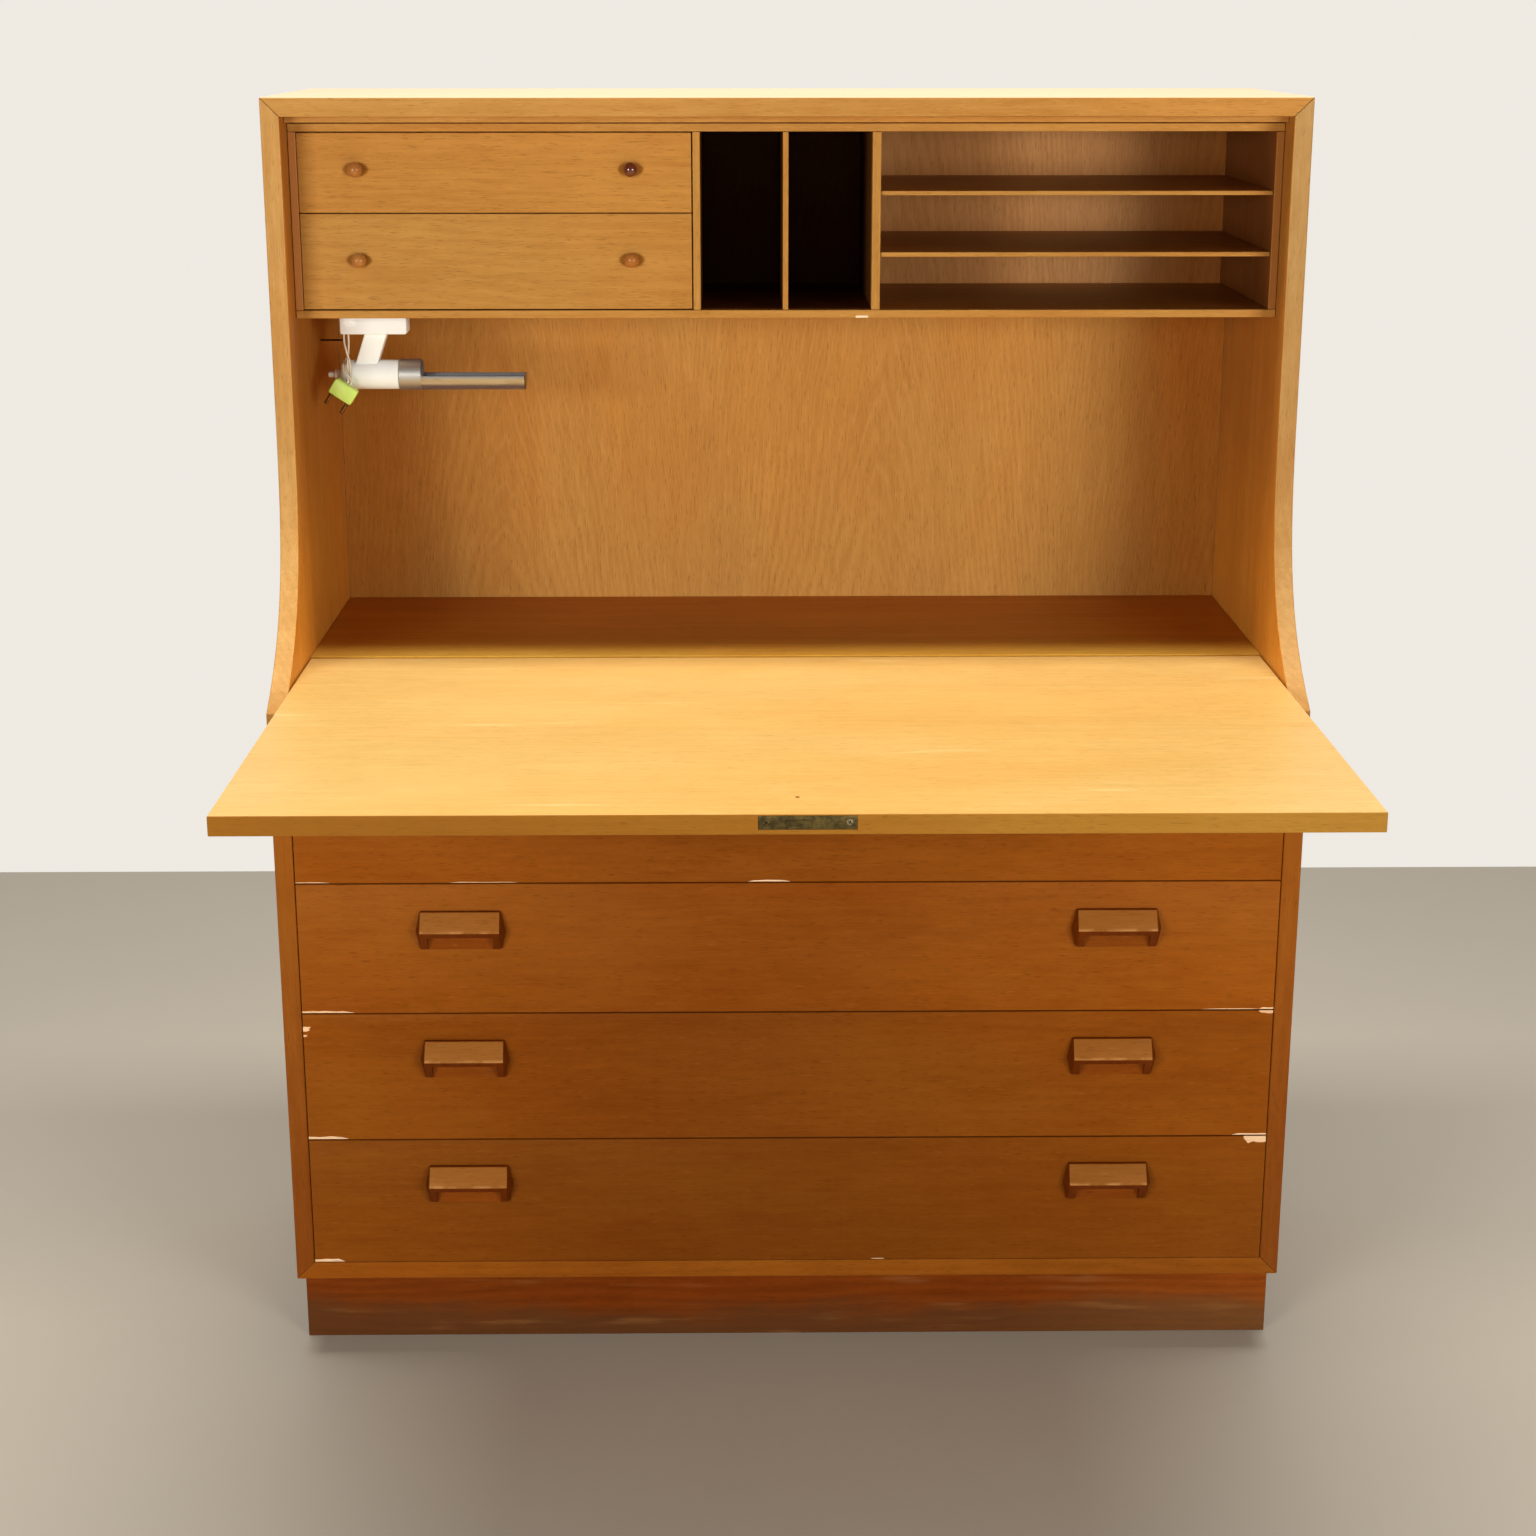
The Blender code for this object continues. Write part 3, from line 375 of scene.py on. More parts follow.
def small_front_knob_shadows(level):
    """Painted shadows: the oak is darkened around each knob, where its shadows fall to both sides."""
    def wear(s, wood):
        for side in SIDES:
            low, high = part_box("knob_" + level + "_" + side)
            across = s.math('SUBTRACT', s.axis("X"), (low.x + high.x) / 2)
            across = s.math('DIVIDE', across, KNOB_SHADOW_HALF[0])
            up = s.math('SUBTRACT', s.axis("Z"), (low.z + high.z) / 2)
            up = s.math('DIVIDE', up, KNOB_SHADOW_HALF[1])
            reach = s.plus(s.times(across, across), s.times(up, up))
            # Painted shadow round the knob
            wood = s.tint(s.ramp(reach, 1.25, 0.75), wood, (0.66, 0.54, 0.36))
        return wood
    return wear


def back_light_and_shade(s, wood):
    """The back's inner face, with painted light and shade: darker towards its ends, paler behind the middle
    of the open shelves, and painted shade inside the pigeonholes.
    """
    # Painted shade towards the ends, where the side panels shade the back
    worn = s.tint(s.ramp(s.math('ABSOLUTE', s.axis("X")), 0.36, 0.47), wood, (0.80, 0.63, 0.42))
    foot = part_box("unit_bottom")[1].z
    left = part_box("divider_right")[1].x
    bays = s.times(s.fade("Z", foot - 0.002, foot + 0.002), s.fade("X", left, left + 0.002))
    # Painted light on the back behind the middle of the open shelves
    paler_where = s.times(s.fade("X", left + 0.05, left + 0.20), s.fade("X", left + 0.38, left + 0.24))
    tint = s.mix(paler_where, (0.95, 0.88, 1.20), (1.32, 1.30, 1.95))
    worn = pigeonhole_shade(s, s.tint(bays, worn, tint))
    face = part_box("back_panel")[0].y
    return s.mix(s.fade("Y", face + 0.0012, face + 0.0004), wood, worn)


def plinth_wear(s, wood):
    """Dark patches that thicken towards the floor, a paler right end, and pale scuffs."""
    low = s.fade("Z", 0.075, 0.0)
    patch = s.noise((5, 5, 16), detail=5.0, roughness=0.65)
    mask = s.ramp(s.plus(s.times(low, 0.45), s.times(patch, 0.7)), 0.46, 0.76)
    wood = s.mix(s.times(mask, 0.6), wood, (0.070, 0.038, 0.015))
    wood = s.tint(s.fade("X", 0.20, 0.50), wood, (1.45, 1.65, 1.70))
    rubbed = s.ramp(s.noise((7, 7, 60), (3.3, 0, 1.7), detail=4.0), 0.56, 0.74)
    return s.mix(s.times(rubbed, 0.35), wood, (0.30, 0.135, 0.040))


def side_light_shade_and_knocks(s, wood):
    """Front edges painted with highlights above the flap and painted shade below it; inner faces painted in
    shade high up and in yellower light near the desk; a few dark knocks low on the front edges.
    """
    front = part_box("side_panel_left")[0].y
    low = s.times(s.fade("Z", 0.74, 0.62), s.fade("Y", front + 0.0014, front + 0.0006))
    # Painted shade on the front edges below the flap, darker towards the floor
    shaded_below = s.mix(s.fade("Z", 0.60, 0.14), (0.62, 0.39, 0.15), (0.42, 0.20, 0.06))
    wood = s.tint(s.times(low, 0.95), wood, shaded_below)
    inner_face = -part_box("side_panel_left")[1].x
    outer_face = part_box("side_panel_right")[1].x
    away = s.math('ABSOLUTE', s.axis("X"))
    inside = s.ramp(away, inner_face + 0.0008, inner_face + 0.0002)
    # Painted light and shade on the inner faces: darker high up, lighter near the desk, as light from the
    # flap
    lit = s.fade("Z", 1.00, 0.76)
    wood = s.tint(inside, wood, s.mix(lit, (0.88, 0.72, 0.48), (1.24, 1.03, 0.52)))
    edge = s.times(s.ramp(away, outer_face - 0.0002, outer_face - 0.0008),
                   s.ramp(away, inner_face + 0.0002, inner_face + 0.0008))
    # Painted highlight on the front edges above the flap, stronger at the left
    highlit = s.times(edge, s.fade("Z", 0.68, 0.76))
    pale = s.mix(s.fade("X", -0.4, 0.4), (1.05, 1.20, 1.55), (0.88, 1.00, 1.35))
    wood = s.tint(highlit, wood, pale)
    knock = s.ramp(s.noise((60, 60, 22), detail=5.0, roughness=0.7), 0.60, 0.70)
    return s.mix(s.times(knock, s.times(low, 0.6)), wood, (0.16, 0.05, 0.012))


def desk_painted_shadow(s, wood):
    """Painted shadow: the desk's rear is painted darker where the unit above shades it; its front is painted
    as pale as the lit flap.
    """
    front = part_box("desk_panel")[0].y
    lit_front = s.fade("Y", front + 0.085, front + 0.004)
    return s.tint(1.0, wood, s.mix(lit_front, (0.90, 0.66, 0.45), (1.22, 1.50, 2.20)))


def front_painted_shade(s, wood):
    """Painted shade: the drawers' fronts are painted darkest just left of their middle, and paler towards
    both ends, most at the right.
    """
    paler_where = s.plus(s.times(s.fade("X", -0.10, -0.52), 0.8), s.fade("X", -0.05, 0.50))
    return s.mix(paler_where, s.tint(1.0, wood, (0.76, 0.74, 0.86)), wood)


def pull_lip_highlight(foot):
    """A painted highlight along the lip's lower edge, in patches."""
    def wear(s, wood):
        edge = s.fade("Z", foot + 0.0034, foot + 0.0012)
        patch = s.ramp(s.noise((45, 45, 45), detail=3.0), 0.38, 0.58)
        return s.mix(s.times(edge, s.times(patch, 0.5)), wood, (0.60, 0.30, 0.10))
    return wear


def flap_wear_and_shade(s, wood):
    """Rubbed patches, faint marks of use, painted shade round the small keyhole, and a darker front edge,
    paler towards its right end.
    """
    rubbed = s.ramp(s.noise((2.2, 3.5, 1.0), (4.1, 2.2, 0), detail=4.0, roughness=0.6), 0.42, 0.66)
    wood = s.mix(s.times(rubbed, 0.22), wood, (0.80, 0.54, 0.19))
    mark = s.ramp(s.noise((14, 22, 1.0), (1.3, 7.7, 0), detail=5.0, roughness=0.7), 0.66, 0.76)
    wood = s.mix(s.times(mark, 0.14), wood, (0.40, 0.20, 0.06))
    scratch = s.ramp(s.noise((4.5, 75, 1.0), (2.9, 5.1, 0), detail=3.0), 0.66, 0.78)
    wood = s.mix(s.times(scratch, 0.45), wood, (0.90, 0.68, 0.34))
    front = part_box("flap")[0].y
    edge = s.fade("Y", front + 0.0010, front + 0.0006)
    # Painted shade round the small keyhole
    along = s.math('SUBTRACT', s.axis("Y"), front + KEYHOLE_SETBACK)
    rim = s.times(s.ramp(s.math('ABSOLUTE', s.axis("X")), 0.0026, 0.0012),
                  s.ramp(s.math('ABSOLUTE', along), 0.0040, 0.0018))
    wood = s.mix(s.times(rim, 0.8), wood, (0.30, 0.12, 0.03))
    tint = s.mix(s.fade("X", -0.35, 0.45), (0.42, 0.27, 0.11), (0.58, 0.45, 0.22))
    return s.tint(edge, wood, tint)


# ---- Making pieces ----

def new_object(name, data):
    """An object around a mesh, curve, light or camera, linked to the scene."""
    obj = bpy.data.objects.new(name, data)
    bpy.context.scene.collection.objects.link(obj)
    return obj


def modified_mesh(obj):
    """A new mesh: the object's own with its modifiers applied."""
    return bpy.data.meshes.new_from_object(obj.evaluated_get(bpy.context.evaluated_depsgraph_get()))


def bake(obj):
    """Apply the object's modifiers."""
    bpy.context.view_layer.update()
    mesh = modified_mesh(obj)
    obj.modifiers.clear()
    obj.data = mesh


def baked_mesh(obj, sharp_angle=35):
    """The object's mesh with its modifiers applied, shaded smooth; the object goes."""
    mesh = modified_mesh(obj)
    mesh.transform(obj.matrix_world)
    bpy.data.objects.remove(obj)
    mesh.shade_smooth()
    mesh.set_sharp_from_angle(angle=math.radians(sharp_angle))
    return mesh


def paint(node, material):
    """Give a node that keeps its CAD shape its one material."""
    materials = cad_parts[node].data.materials
    materials.clear()
    materials.append(material)


def add_piece(name, data, body, materials, stands_for=()):
    """A finished piece, in place in the frame, riding on a body."""
    obj = new_object(name, data)
    if materials:
        data.materials.clear()
        for material in materials:
            data.materials.append(material)
    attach(obj, body)
    if stands_for:
        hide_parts(*stands_for)
    return obj


def bevel(obj, width, segments=3, angle=35):
    """Round the edges sharper than an angle."""
    modifier = obj.modifiers.new("rounding", 'BEVEL')
    modifier.width = width
    modifier.segments = segments
    modifier.limit_method = 'ANGLE'
    modifier.angle_limit = math.radians(angle)


def boolean(obj, cutter, operation='DIFFERENCE'):
    """Cut or join with another object, whose faces keep its own material; the other object goes."""
    modifier = obj.modifiers.new("joined", 'BOOLEAN')
    modifier.object = cutter
    modifier.operation = operation
    modifier.solver = 'EXACT'
    modifier.material_mode = 'TRANSFER'
    bake(obj)
    bpy.data.objects.remove(cutter)


def finished_mesh(name, shape, materials):
    mesh = bpy.data.meshes.new(name)
    shape.to_mesh(mesh)
    shape.free()
    for material in materials:
        mesh.materials.append(material)
    return mesh


def prism(name, outline, low, high, axis='Y', material=None):
    """An outline in X and Z (axis Y) or in Y and Z (axis X), from low to high along the axis."""
    shape = bmesh.new()
    if axis == 'Y':
        ring = [shape.verts.new((a, low, b)) for a, b in outline]
        push = Vector((0, high - low, 0))
    else:
        ring = [shape.verts.new((low, a, b)) for a, b in outline]
        push = Vector((high - low, 0, 0))
    face = shape.faces.new(ring)
    grown = bmesh.ops.extrude_face_region(shape, geom=[face])
    moved = [part for part in grown["geom"] if isinstance(part, bmesh.types.BMVert)]
    bmesh.ops.translate(shape, verts=moved, vec=push)
    bmesh.ops.recalc_face_normals(shape, faces=shape.faces)
    return new_object(name, finished_mesh(name, shape, [material] if material else []))


def rectangle(low, high, room=0.0):
    """The outline in X and Z between two corners, widened by some room."""
    return [(low.x - room, low.z - room), (high.x + room, low.z - room),
            (high.x + room, high.z + room), (low.x - room, high.z + room)]


def rounded_outline(corners, steps=5):
    """Corner points with a radius each, as an outline with arcs in place of the corners."""
    outline = []
    count = len(corners)
    for i, (x, z, radius) in enumerate(corners):
        here = Vector((x, z))
        before = Vector(corners[i - 1][:2]) - here
        after = Vector(corners[(i + 1) % count][:2]) - here
        if radius == 0:
            outline.append((x, z))
            continue
        half = before.angle(after) / 2
        reach = radius / math.tan(half)
        start = here + before.normalized() * reach
        end = here + after.normalized() * reach
        for k in range(steps + 1):
            t = k / steps
            bend = (1 - t) ** 2 * start + 2 * t * (1 - t) * here + t ** 2 * end
            outline.append((bend.x, bend.y))
    return outline


def turned(name, profile, place, turn, steps=48):
    """A turned shape: radius and height pairs from the top down its outer side."""
    mesh = bpy.data.meshes.new(name)
    mesh.from_pydata([(r, 0, h) for r, h in profile], [(i, i + 1) for i in range(len(profile) - 1)], [])
    obj = new_object(name, mesh)
    obj.matrix_world = Matrix.Translation(place) @ turn.to_4x4()
    screw = obj.modifiers.new("turning", 'SCREW')
    screw.steps = steps
    screw.render_steps = steps
    screw.use_merge_vertices = True
    screw.merge_threshold = 0.00001
    bpy.context.view_layer.update()
    return obj


def arc(centre, radius, start, end, steps):
    """Points on a circle's arc, from one angle to another, in degrees."""
    points = []
    for i in range(steps + 1):
        angle = math.radians(start + (end - start) * i / steps)
        points.append((centre[0] + radius * math.cos(angle), centre[1] + radius * math.sin(angle)))
    return points


# ---- The twin flex and its plug ----

# The strands' radius
FLEX_RADIUS = 0.0010
# Where each strand leaves the bracket, how far below it the strand is guided, and the crossing's depth
FLEX_STARTS = {"a": -0.4617, "b": -0.4664}
FLEX_DROPS = (0.008, 0.019, 0.030)
FLEX_CROSSING = 0.0022
# The winding round the housing: its left end, its pitch, each strand's place in it, its clearance
FLEX_BAND_LEFT = -0.4684
FLEX_LAY = 0.0023
FLEX_BAND_PLACES = {"a": 2, "b": 3}
FLEX_CLEARANCE = 0.0005
FLEX_POINTS_PER_TURN = 12
# The way to the plug: how far the flex lifts off the winding, rises above the plug, and goes into it
FLEX_LIFT = 0.0028
FLEX_ABOVE_PLUG = 0.0045
FLEX_IN_PLUG = 0.0012
FLEX_PLUG_SPREAD = 0.0038
PLUG_CENTRE = Vector((-0.4680, 0.2026, 1.0050))
PLUG_TILT = math.radians(33)
PLUG_SIZE = Vector((0.0275, 0.0130, 0.0175))
PIN_PLACES = {"left": -0.0095, "right": 0.0095}
PIN_LENGTH = 0.0130
PIN_RADIUS = 0.0020
PIN_ROUNDING = 0.0016


def lamp_axis():
    """The housing's centre line (its y and z) and its radius."""
    low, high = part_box("lamp_housing")
    middle = (low + high) / 2
    return middle.y, middle.z, (high.z - low.z) / 2


def flex_points(strand):
    """Down from the bracket, almost once round the lamp housing, then to the plug."""
    axis_y, axis_z, housing_radius = lamp_axis()
    wind = housing_radius + FLEX_RADIUS + FLEX_CLEARANCE
    bracket_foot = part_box("flex_" + strand)[1].z + GAP
    start_x = FLEX_STARTS[strand]
    winding_x = FLEX_BAND_LEFT + FLEX_BAND_PLACES[strand] * FLEX_LAY
    front = axis_y - wind
    side = 1 if winding_x > start_x else -1
    points = [Vector((start_x, front, bracket_foot - GAP)),
              Vector((start_x, front, bracket_foot - FLEX_DROPS[0])),
              Vector(((start_x + winding_x) / 2, front - side * FLEX_CROSSING, bracket_foot - FLEX_DROPS[1])),
              Vector((winding_x, front, bracket_foot - FLEX_DROPS[2]))]
    for i in range(FLEX_POINTS_PER_TURN - 1):
        turn = i / FLEX_POINTS_PER_TURN
        angle = 2 * math.pi * turn
        points.append(Vector((winding_x - 2 * FLEX_LAY * turn, axis_y - wind * math.cos(angle),
                              axis_z - wind * math.sin(angle))))
    points.append(Vector((winding_x - 2 * FLEX_LAY, front - FLEX_LIFT, axis_z + wind / 2)))
    up = Vector((math.sin(PLUG_TILT), 0, math.cos(PLUG_TILT)))
    across = Vector((math.cos(PLUG_TILT), 0, -math.sin(PLUG_TILT)))
    shift = FLEX_PLUG_SPREAD / 2 if strand == "b" else -FLEX_PLUG_SPREAD / 2
    top = PLUG_CENTRE + up * (PLUG_SIZE.z / 2) + across * shift
    return [*points, top + up * FLEX_ABOVE_PLUG, top - up * FLEX_IN_PLUG]


def smooth_route(points, readings):
    """Read a smooth curve through the route's points."""
    padded = [2 * points[0] - points[1], *points, 2 * points[-1] - points[-2]]
    route = []
    for a, b, c, d in zip(padded, padded[1:], padded[2:], padded[3:]):
        for i in range(readings):
            t = i / readings
            route.append(0.5 * (2 * b + (c - a) * t + (2 * a - 5 * b + 4 * c - d) * t ** 2
                                + (3 * b - a - 3 * c + d) * t ** 3))
    route.append(points[-1])
    return route


def wire_piece(name, points, radius, body, material, stands_for):
    """A round wire along a route, riding on a body."""
    curve = bpy.data.curves.new(name, 'CURVE')
    curve.dimensions = '3D'
    curve.bevel_depth = radius
    curve.bevel_resolution = 4
    curve.use_fill_caps = True
    spline = curve.splines.new('POLY')
    spline.points.add(len(points) - 1)
    for point, place in zip(spline.points, points):
        point.co = (*place, 1)
    spline.use_smooth = True
    return add_piece(name, curve, body, [material], stands_for)


def plug_frame():
    return Matrix.Translation(PLUG_CENTRE) @ Matrix.Rotation(PLUG_TILT, 4, 'Y')


def make_plug():
    """A flat two-pin plug with rounded edges, hanging at a slant."""
    half_x, half_y, half_z = PLUG_SIZE / 2
    outline = rounded_outline([(-half_x, -half_z, 0.0030), (half_x, -half_z, 0.0030),
                               (half_x, half_z, 0.0035), (-half_x, half_z, 0.0035)])
    body = prism("plug", outline, -half_y, half_y)
    bevel(body, 0.0016, 3)
    mesh = baked_mesh(body)
    mesh.transform(plug_frame())
    green = plastic("plug_green", (0.68, 0.96, 0.20), (0.60, 0.88, 0.16), 0.30, 90)
    piece = add_piece("moulded_plug", mesh, "case", [green], ["plug_body"])
    brass = old_metal("pin_metal", (0.26, 0.13, 0.05), (0.10, 0.045, 0.015), 0.30)
    pins = []
    for side, x in PIN_PLACES.items():
        profile = [(0, 0), (PIN_RADIUS, 0), (PIN_RADIUS, -PIN_LENGTH + PIN_ROUNDING),
                   *arc((PIN_RADIUS - PIN_ROUNDING, -PIN_LENGTH + PIN_ROUNDING), PIN_ROUNDING, 0, -90, 5),
                   (0, -PIN_LENGTH)]
        pin = turned("pin", profile, (0, 0, 0), Matrix.Identity(3), 24)
        pin_mesh = baked_mesh(pin)
        pin_mesh.transform(plug_frame() @ Matrix.Translation((x, 0, -half_z - GAP)))
        pins.append(add_piece("turned_pin_" + side, pin_mesh, "case", [brass],
                              ["plug_pin_" + side]))
    return [piece, *pins]


def make_flex():
    """Two limp strands from the bracket to the plug."""
    plug_pieces = make_plug()
    flex = plastic("flex_sheath", (0.84, 0.75, 0.60), (0.66, 0.62, 0.54), 0.40, 70)
    for strand in FLEX_STARTS:
        points = flex_points(strand)
        piece = wire_piece("flex_strand_" + strand, smooth_route(points, 4), FLEX_RADIUS, "case",
                           flex, ["flex_" + strand])


# ---- Lamp ----

COLLAR_LENGTH = 0.0233
NUT_LENGTH = 0.0079
# The neck: from the base's left end to its top, how far it leans, its drop, its width and half its depth
NECK_INSET = 0.0252
NECK_LEAN = 0.0120
NECK_DROP = 0.0325
NECK_WIDTH = 0.0235
NECK_HALF_DEPTH = 0.0100


def make_lamp():
    """Bracket, housing with its switch nut, push button and reflector, all turned about one line."""
    white = enamel()
    axis_y, axis_z, radius = lamp_axis()
    make_bracket(white, axis_y, axis_z, radius)
    low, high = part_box("lamp_housing")
    left = low.x + NUT_LENGTH
    rim = arc((radius - 0.0030, -0.0030), 0.0030, 90, 0, 8)
    profile = [(0, 0.0002), (0.0033, 0.0002), (0.0033, NUT_LENGTH - 0.0004), (0.0037, NUT_LENGTH),
               (0.0051, NUT_LENGTH), (0.0055, NUT_LENGTH - 0.0004), (0.0055, 0.0), *rim,
               (radius, left - high.x + 0.0004), (radius - 0.0004, left - high.x), (0, left - high.x)]
    housing = turned("housing", profile, (left, axis_y, axis_z), TOWARDS_LEFT, 64)
    add_piece("enamelled_housing", baked_mesh(housing, 40), "case", [white], ["lamp_housing"])
    low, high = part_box("switch_button")
    length = high.x - low.x
    profile = [(0, 0), (0.0016, 0), (0.0025, -0.0004), (0.0030, -0.0013), (0.0030, -0.0052),
               (0.0026, -0.0055), (0.0026, -length), (0, -length)]
    button = turned("button", profile, (low.x, axis_y, axis_z), TOWARDS_LEFT, 32)
    add_piece("enamelled_button", baked_mesh(button, 40), "switch_button", [white],
              ["switch_button"])
    make_reflector(chrome(), axis_y, axis_z)


def make_bracket(white, axis_y, axis_z, radius):
    """A shallow box with rounded lower corners and a flat neck slanting down to the housing."""
    low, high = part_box("lamp_bracket")
    base_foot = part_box("flex_a")[1].z + GAP
    outline = rounded_outline([(low.x, base_foot, 0.0026), (high.x, base_foot, 0.0026),
                               (high.x, high.z, 0), (low.x, high.z, 0)])
    base = prism("base", outline, low.y, high.y)
    bevel(base, 0.0012, 3)
    bake(base)
    top = (low.x + NECK_INSET, base_foot + 0.0020)
    foot = (top[0] - NECK_LEAN, base_foot - NECK_DROP)
    neck_outline = [foot, (foot[0] + NECK_WIDTH, foot[1]), (top[0] + NECK_WIDTH, top[1]), top]
    neck = prism("neck", neck_outline, axis_y - NECK_HALF_DEPTH, axis_y + NECK_HALF_DEPTH)
    bevel(neck, 0.0015, 3)
    bake(neck)
    boolean(base, neck, 'UNION')
    saddle = turned("saddle", [(0, 0.08), (radius + GAP, 0.08), (radius + GAP, -0.08), (0, -0.08)],
                    (low.x + 0.04, axis_y, axis_z), TOWARDS_LEFT, 64)
    boolean(base, saddle)
    add_piece("enamelled_bracket", baked_mesh(base), "case", [white], ["lamp_bracket"])


def make_reflector(bright, axis_y, axis_z):
    """A thin bright tube, closed at its right end, cut away above its axis beyond the collar."""
    low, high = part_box("lamp_reflector")
    radius = (high.y - low.y) / 2
    wall = 0.0008
    length = high.x - low.x
    inner = radius - wall
    rim = arc((radius - 0.0014, 0.0014 - length), 0.0014, 0, -90, 6)
    profile = [(0, wall - length), (inner, wall - length), (inner, -0.0002), (inner + 0.0002, 0),
               (radius - 0.0003, 0), (radius, -0.0003), *rim, (0, -length)]
    tube = turned("tube", profile, (low.x, axis_y, axis_z), TOWARDS_LEFT, 72)
    bake(tube)
    cut_low = low.x + COLLAR_LENGTH
    outline = rounded_outline([(cut_low, axis_z, 0.003), (high.x + 0.01, axis_z, 0),
                               (high.x + 0.01, axis_z + 0.03, 0), (cut_low, axis_z + 0.03, 0)])
    away = prism("away", outline, axis_y - 0.03, axis_y + 0.03)
    boolean(tube, away)
    add_piece("plated_reflector", baked_mesh(tube, 40), "reflector", [bright], ["lamp_reflector"])


# ---- Knobs, pulls, lock and hook ----

def make_knobs():
    """Four small turned knobs; the right one of the upper drawer is a darker, glossier replacement."""
    plain = oak("knob_oak", OAK_KNOB, GRAIN_Y, 41, rough=0.30, Coat_Weight=0.6, Coat_Roughness=0.22)
    dark = old_knob_lacquer()
    for level in ("upper", "lower"):
        for side in SIDES:
            name = "knob_" + level + "_" + side
            low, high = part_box(name)
            radius = (high.x - low.x) / 2
            length = high.y - low.y
            profile = [*arc((0, length - radius), radius, 90, -38, 14), (0.0046, 0.0004), (0.0052, 0), (0, 0)]
            seat = ((low.x + high.x) / 2, high.y, (low.z + high.z) / 2)
            knob = turned(name, profile, seat, TOWARDS_FRONT, 40)
            material = dark if (level, side) == ("upper", "right") else plain
            add_piece("turned_" + name, baked_mesh(knob, 50), "small_drawer_" + level,
                      [material], [name])


def old_knob_lacquer():
    """Near-black polish over dark wood."""
    s = Shading("knob_dark_lacquer")
    cloud = s.noise((180, 60, 180), detail=4.0)
    colour = s.mix(cloud, (0.085, 0.012, 0.004), (0.15, 0.030, 0.010))
    s.bump(cloud, 0.1, 0.0002)
    return s.finish(colour, s.times(cloud, 0.3), Coat_Weight=0.8, Coat_Roughness=0.08)


# A finger pull seen from the front (half widths, heights below its top) and from the side (depths)
PULL_TOP_HALF = 0.0415
PULL_FOOT_HALF = 0.0425
PULL_LIP_HALF = 0.0410
PULL_WAIST = 0.0225
PULL_LIP_FOOT = 0.0200
PULL_TOP_DEPTH = 0.0050
PULL_FOOT_DEPTH = 0.0045
PULL_SCOOP_HALF = 0.0335
PULL_SCOOP_BACK = 0.0032
PULL_SCOOP_DEPTH = 0.0138
PULL_SCOOP_HEAD = 0.0095


def pull_block(low, high, woods):
    """A wedge lofted from its six-sided back to a slanting lip and the slope below it."""
    middle = (low.x + high.x) / 2
    half = (high.x - low.x) / 2
    height = high.z - low.z
    depth = high.y - low.y
    back = [(-PULL_TOP_HALF, 0), (PULL_TOP_HALF, 0), (half, PULL_WAIST), (PULL_FOOT_HALF, height),
            (-PULL_FOOT_HALF, height), (-half, PULL_WAIST)]
    front = [(-PULL_LIP_HALF, 0.0005, PULL_TOP_DEPTH), (PULL_LIP_HALF, 0.0005, PULL_TOP_DEPTH),
             (PULL_LIP_HALF, PULL_LIP_FOOT, depth), (PULL_LIP_HALF, height, PULL_FOOT_DEPTH),
             (-PULL_LIP_HALF, height, PULL_FOOT_DEPTH), (-PULL_LIP_HALF, PULL_LIP_FOOT, depth)]
    shape = bmesh.new()
    back_ring = [shape.verts.new((middle + x, high.y, high.z - drop)) for x, drop in back]
    ring = [shape.verts.new((middle + x, high.y - out, high.z - drop)) for x, drop, out in front]
    shape.faces.new(back_ring)
    shape.faces.new([ring[0], ring[1], ring[2], ring[5]])
    shape.faces.new([ring[5], ring[2], ring[3], ring[4]])
    for i, (here, out) in enumerate(zip(back_ring, ring)):
        j = (i + 1) % len(ring)
        shape.faces.new([here, back_ring[j], ring[j], out])
    bmesh.ops.recalc_face_normals(shape, faces=shape.faces)
    for face in shape.faces:
        # Painted shade: every face but the lip's takes the dark end-grain oak
        face.material_index = 0 if face.normal.z > 0.2 and face.normal.y < -0.5 else 1
    return finished_mesh("pull", shape, woods)


def scoop_cutter(low, high, woods):
    """The finger hollow: open below, its head slanting with the lip, its back wall lighter than its sides;
    its head and back wall painted darker than the lip as painted shade.
    """
    middle = (low.x + high.x) / 2
    below = low.z - 0.006
    face = high.y
    profile = [(face - PULL_SCOOP_BACK, below), (face - PULL_SCOOP_BACK, high.z - PULL_SCOOP_HEAD - 0.0015),
               (face - PULL_TOP_DEPTH, high.z - PULL_SCOOP_HEAD),
               (face - PULL_SCOOP_DEPTH, high.z - PULL_LIP_FOOT + 0.0008), (face - PULL_SCOOP_DEPTH, below)]
    cutter = prism("scoop", profile, middle - PULL_SCOOP_HALF, middle + PULL_SCOOP_HALF, axis='X')
    for wood in woods[1:]:
        cutter.data.materials.append(wood)
    for face in cutter.data.polygons:
        face.material_index = 1 if face.normal.y > 0.9 else 0
    bevel(cutter, 0.0030, 4)
    return cutter


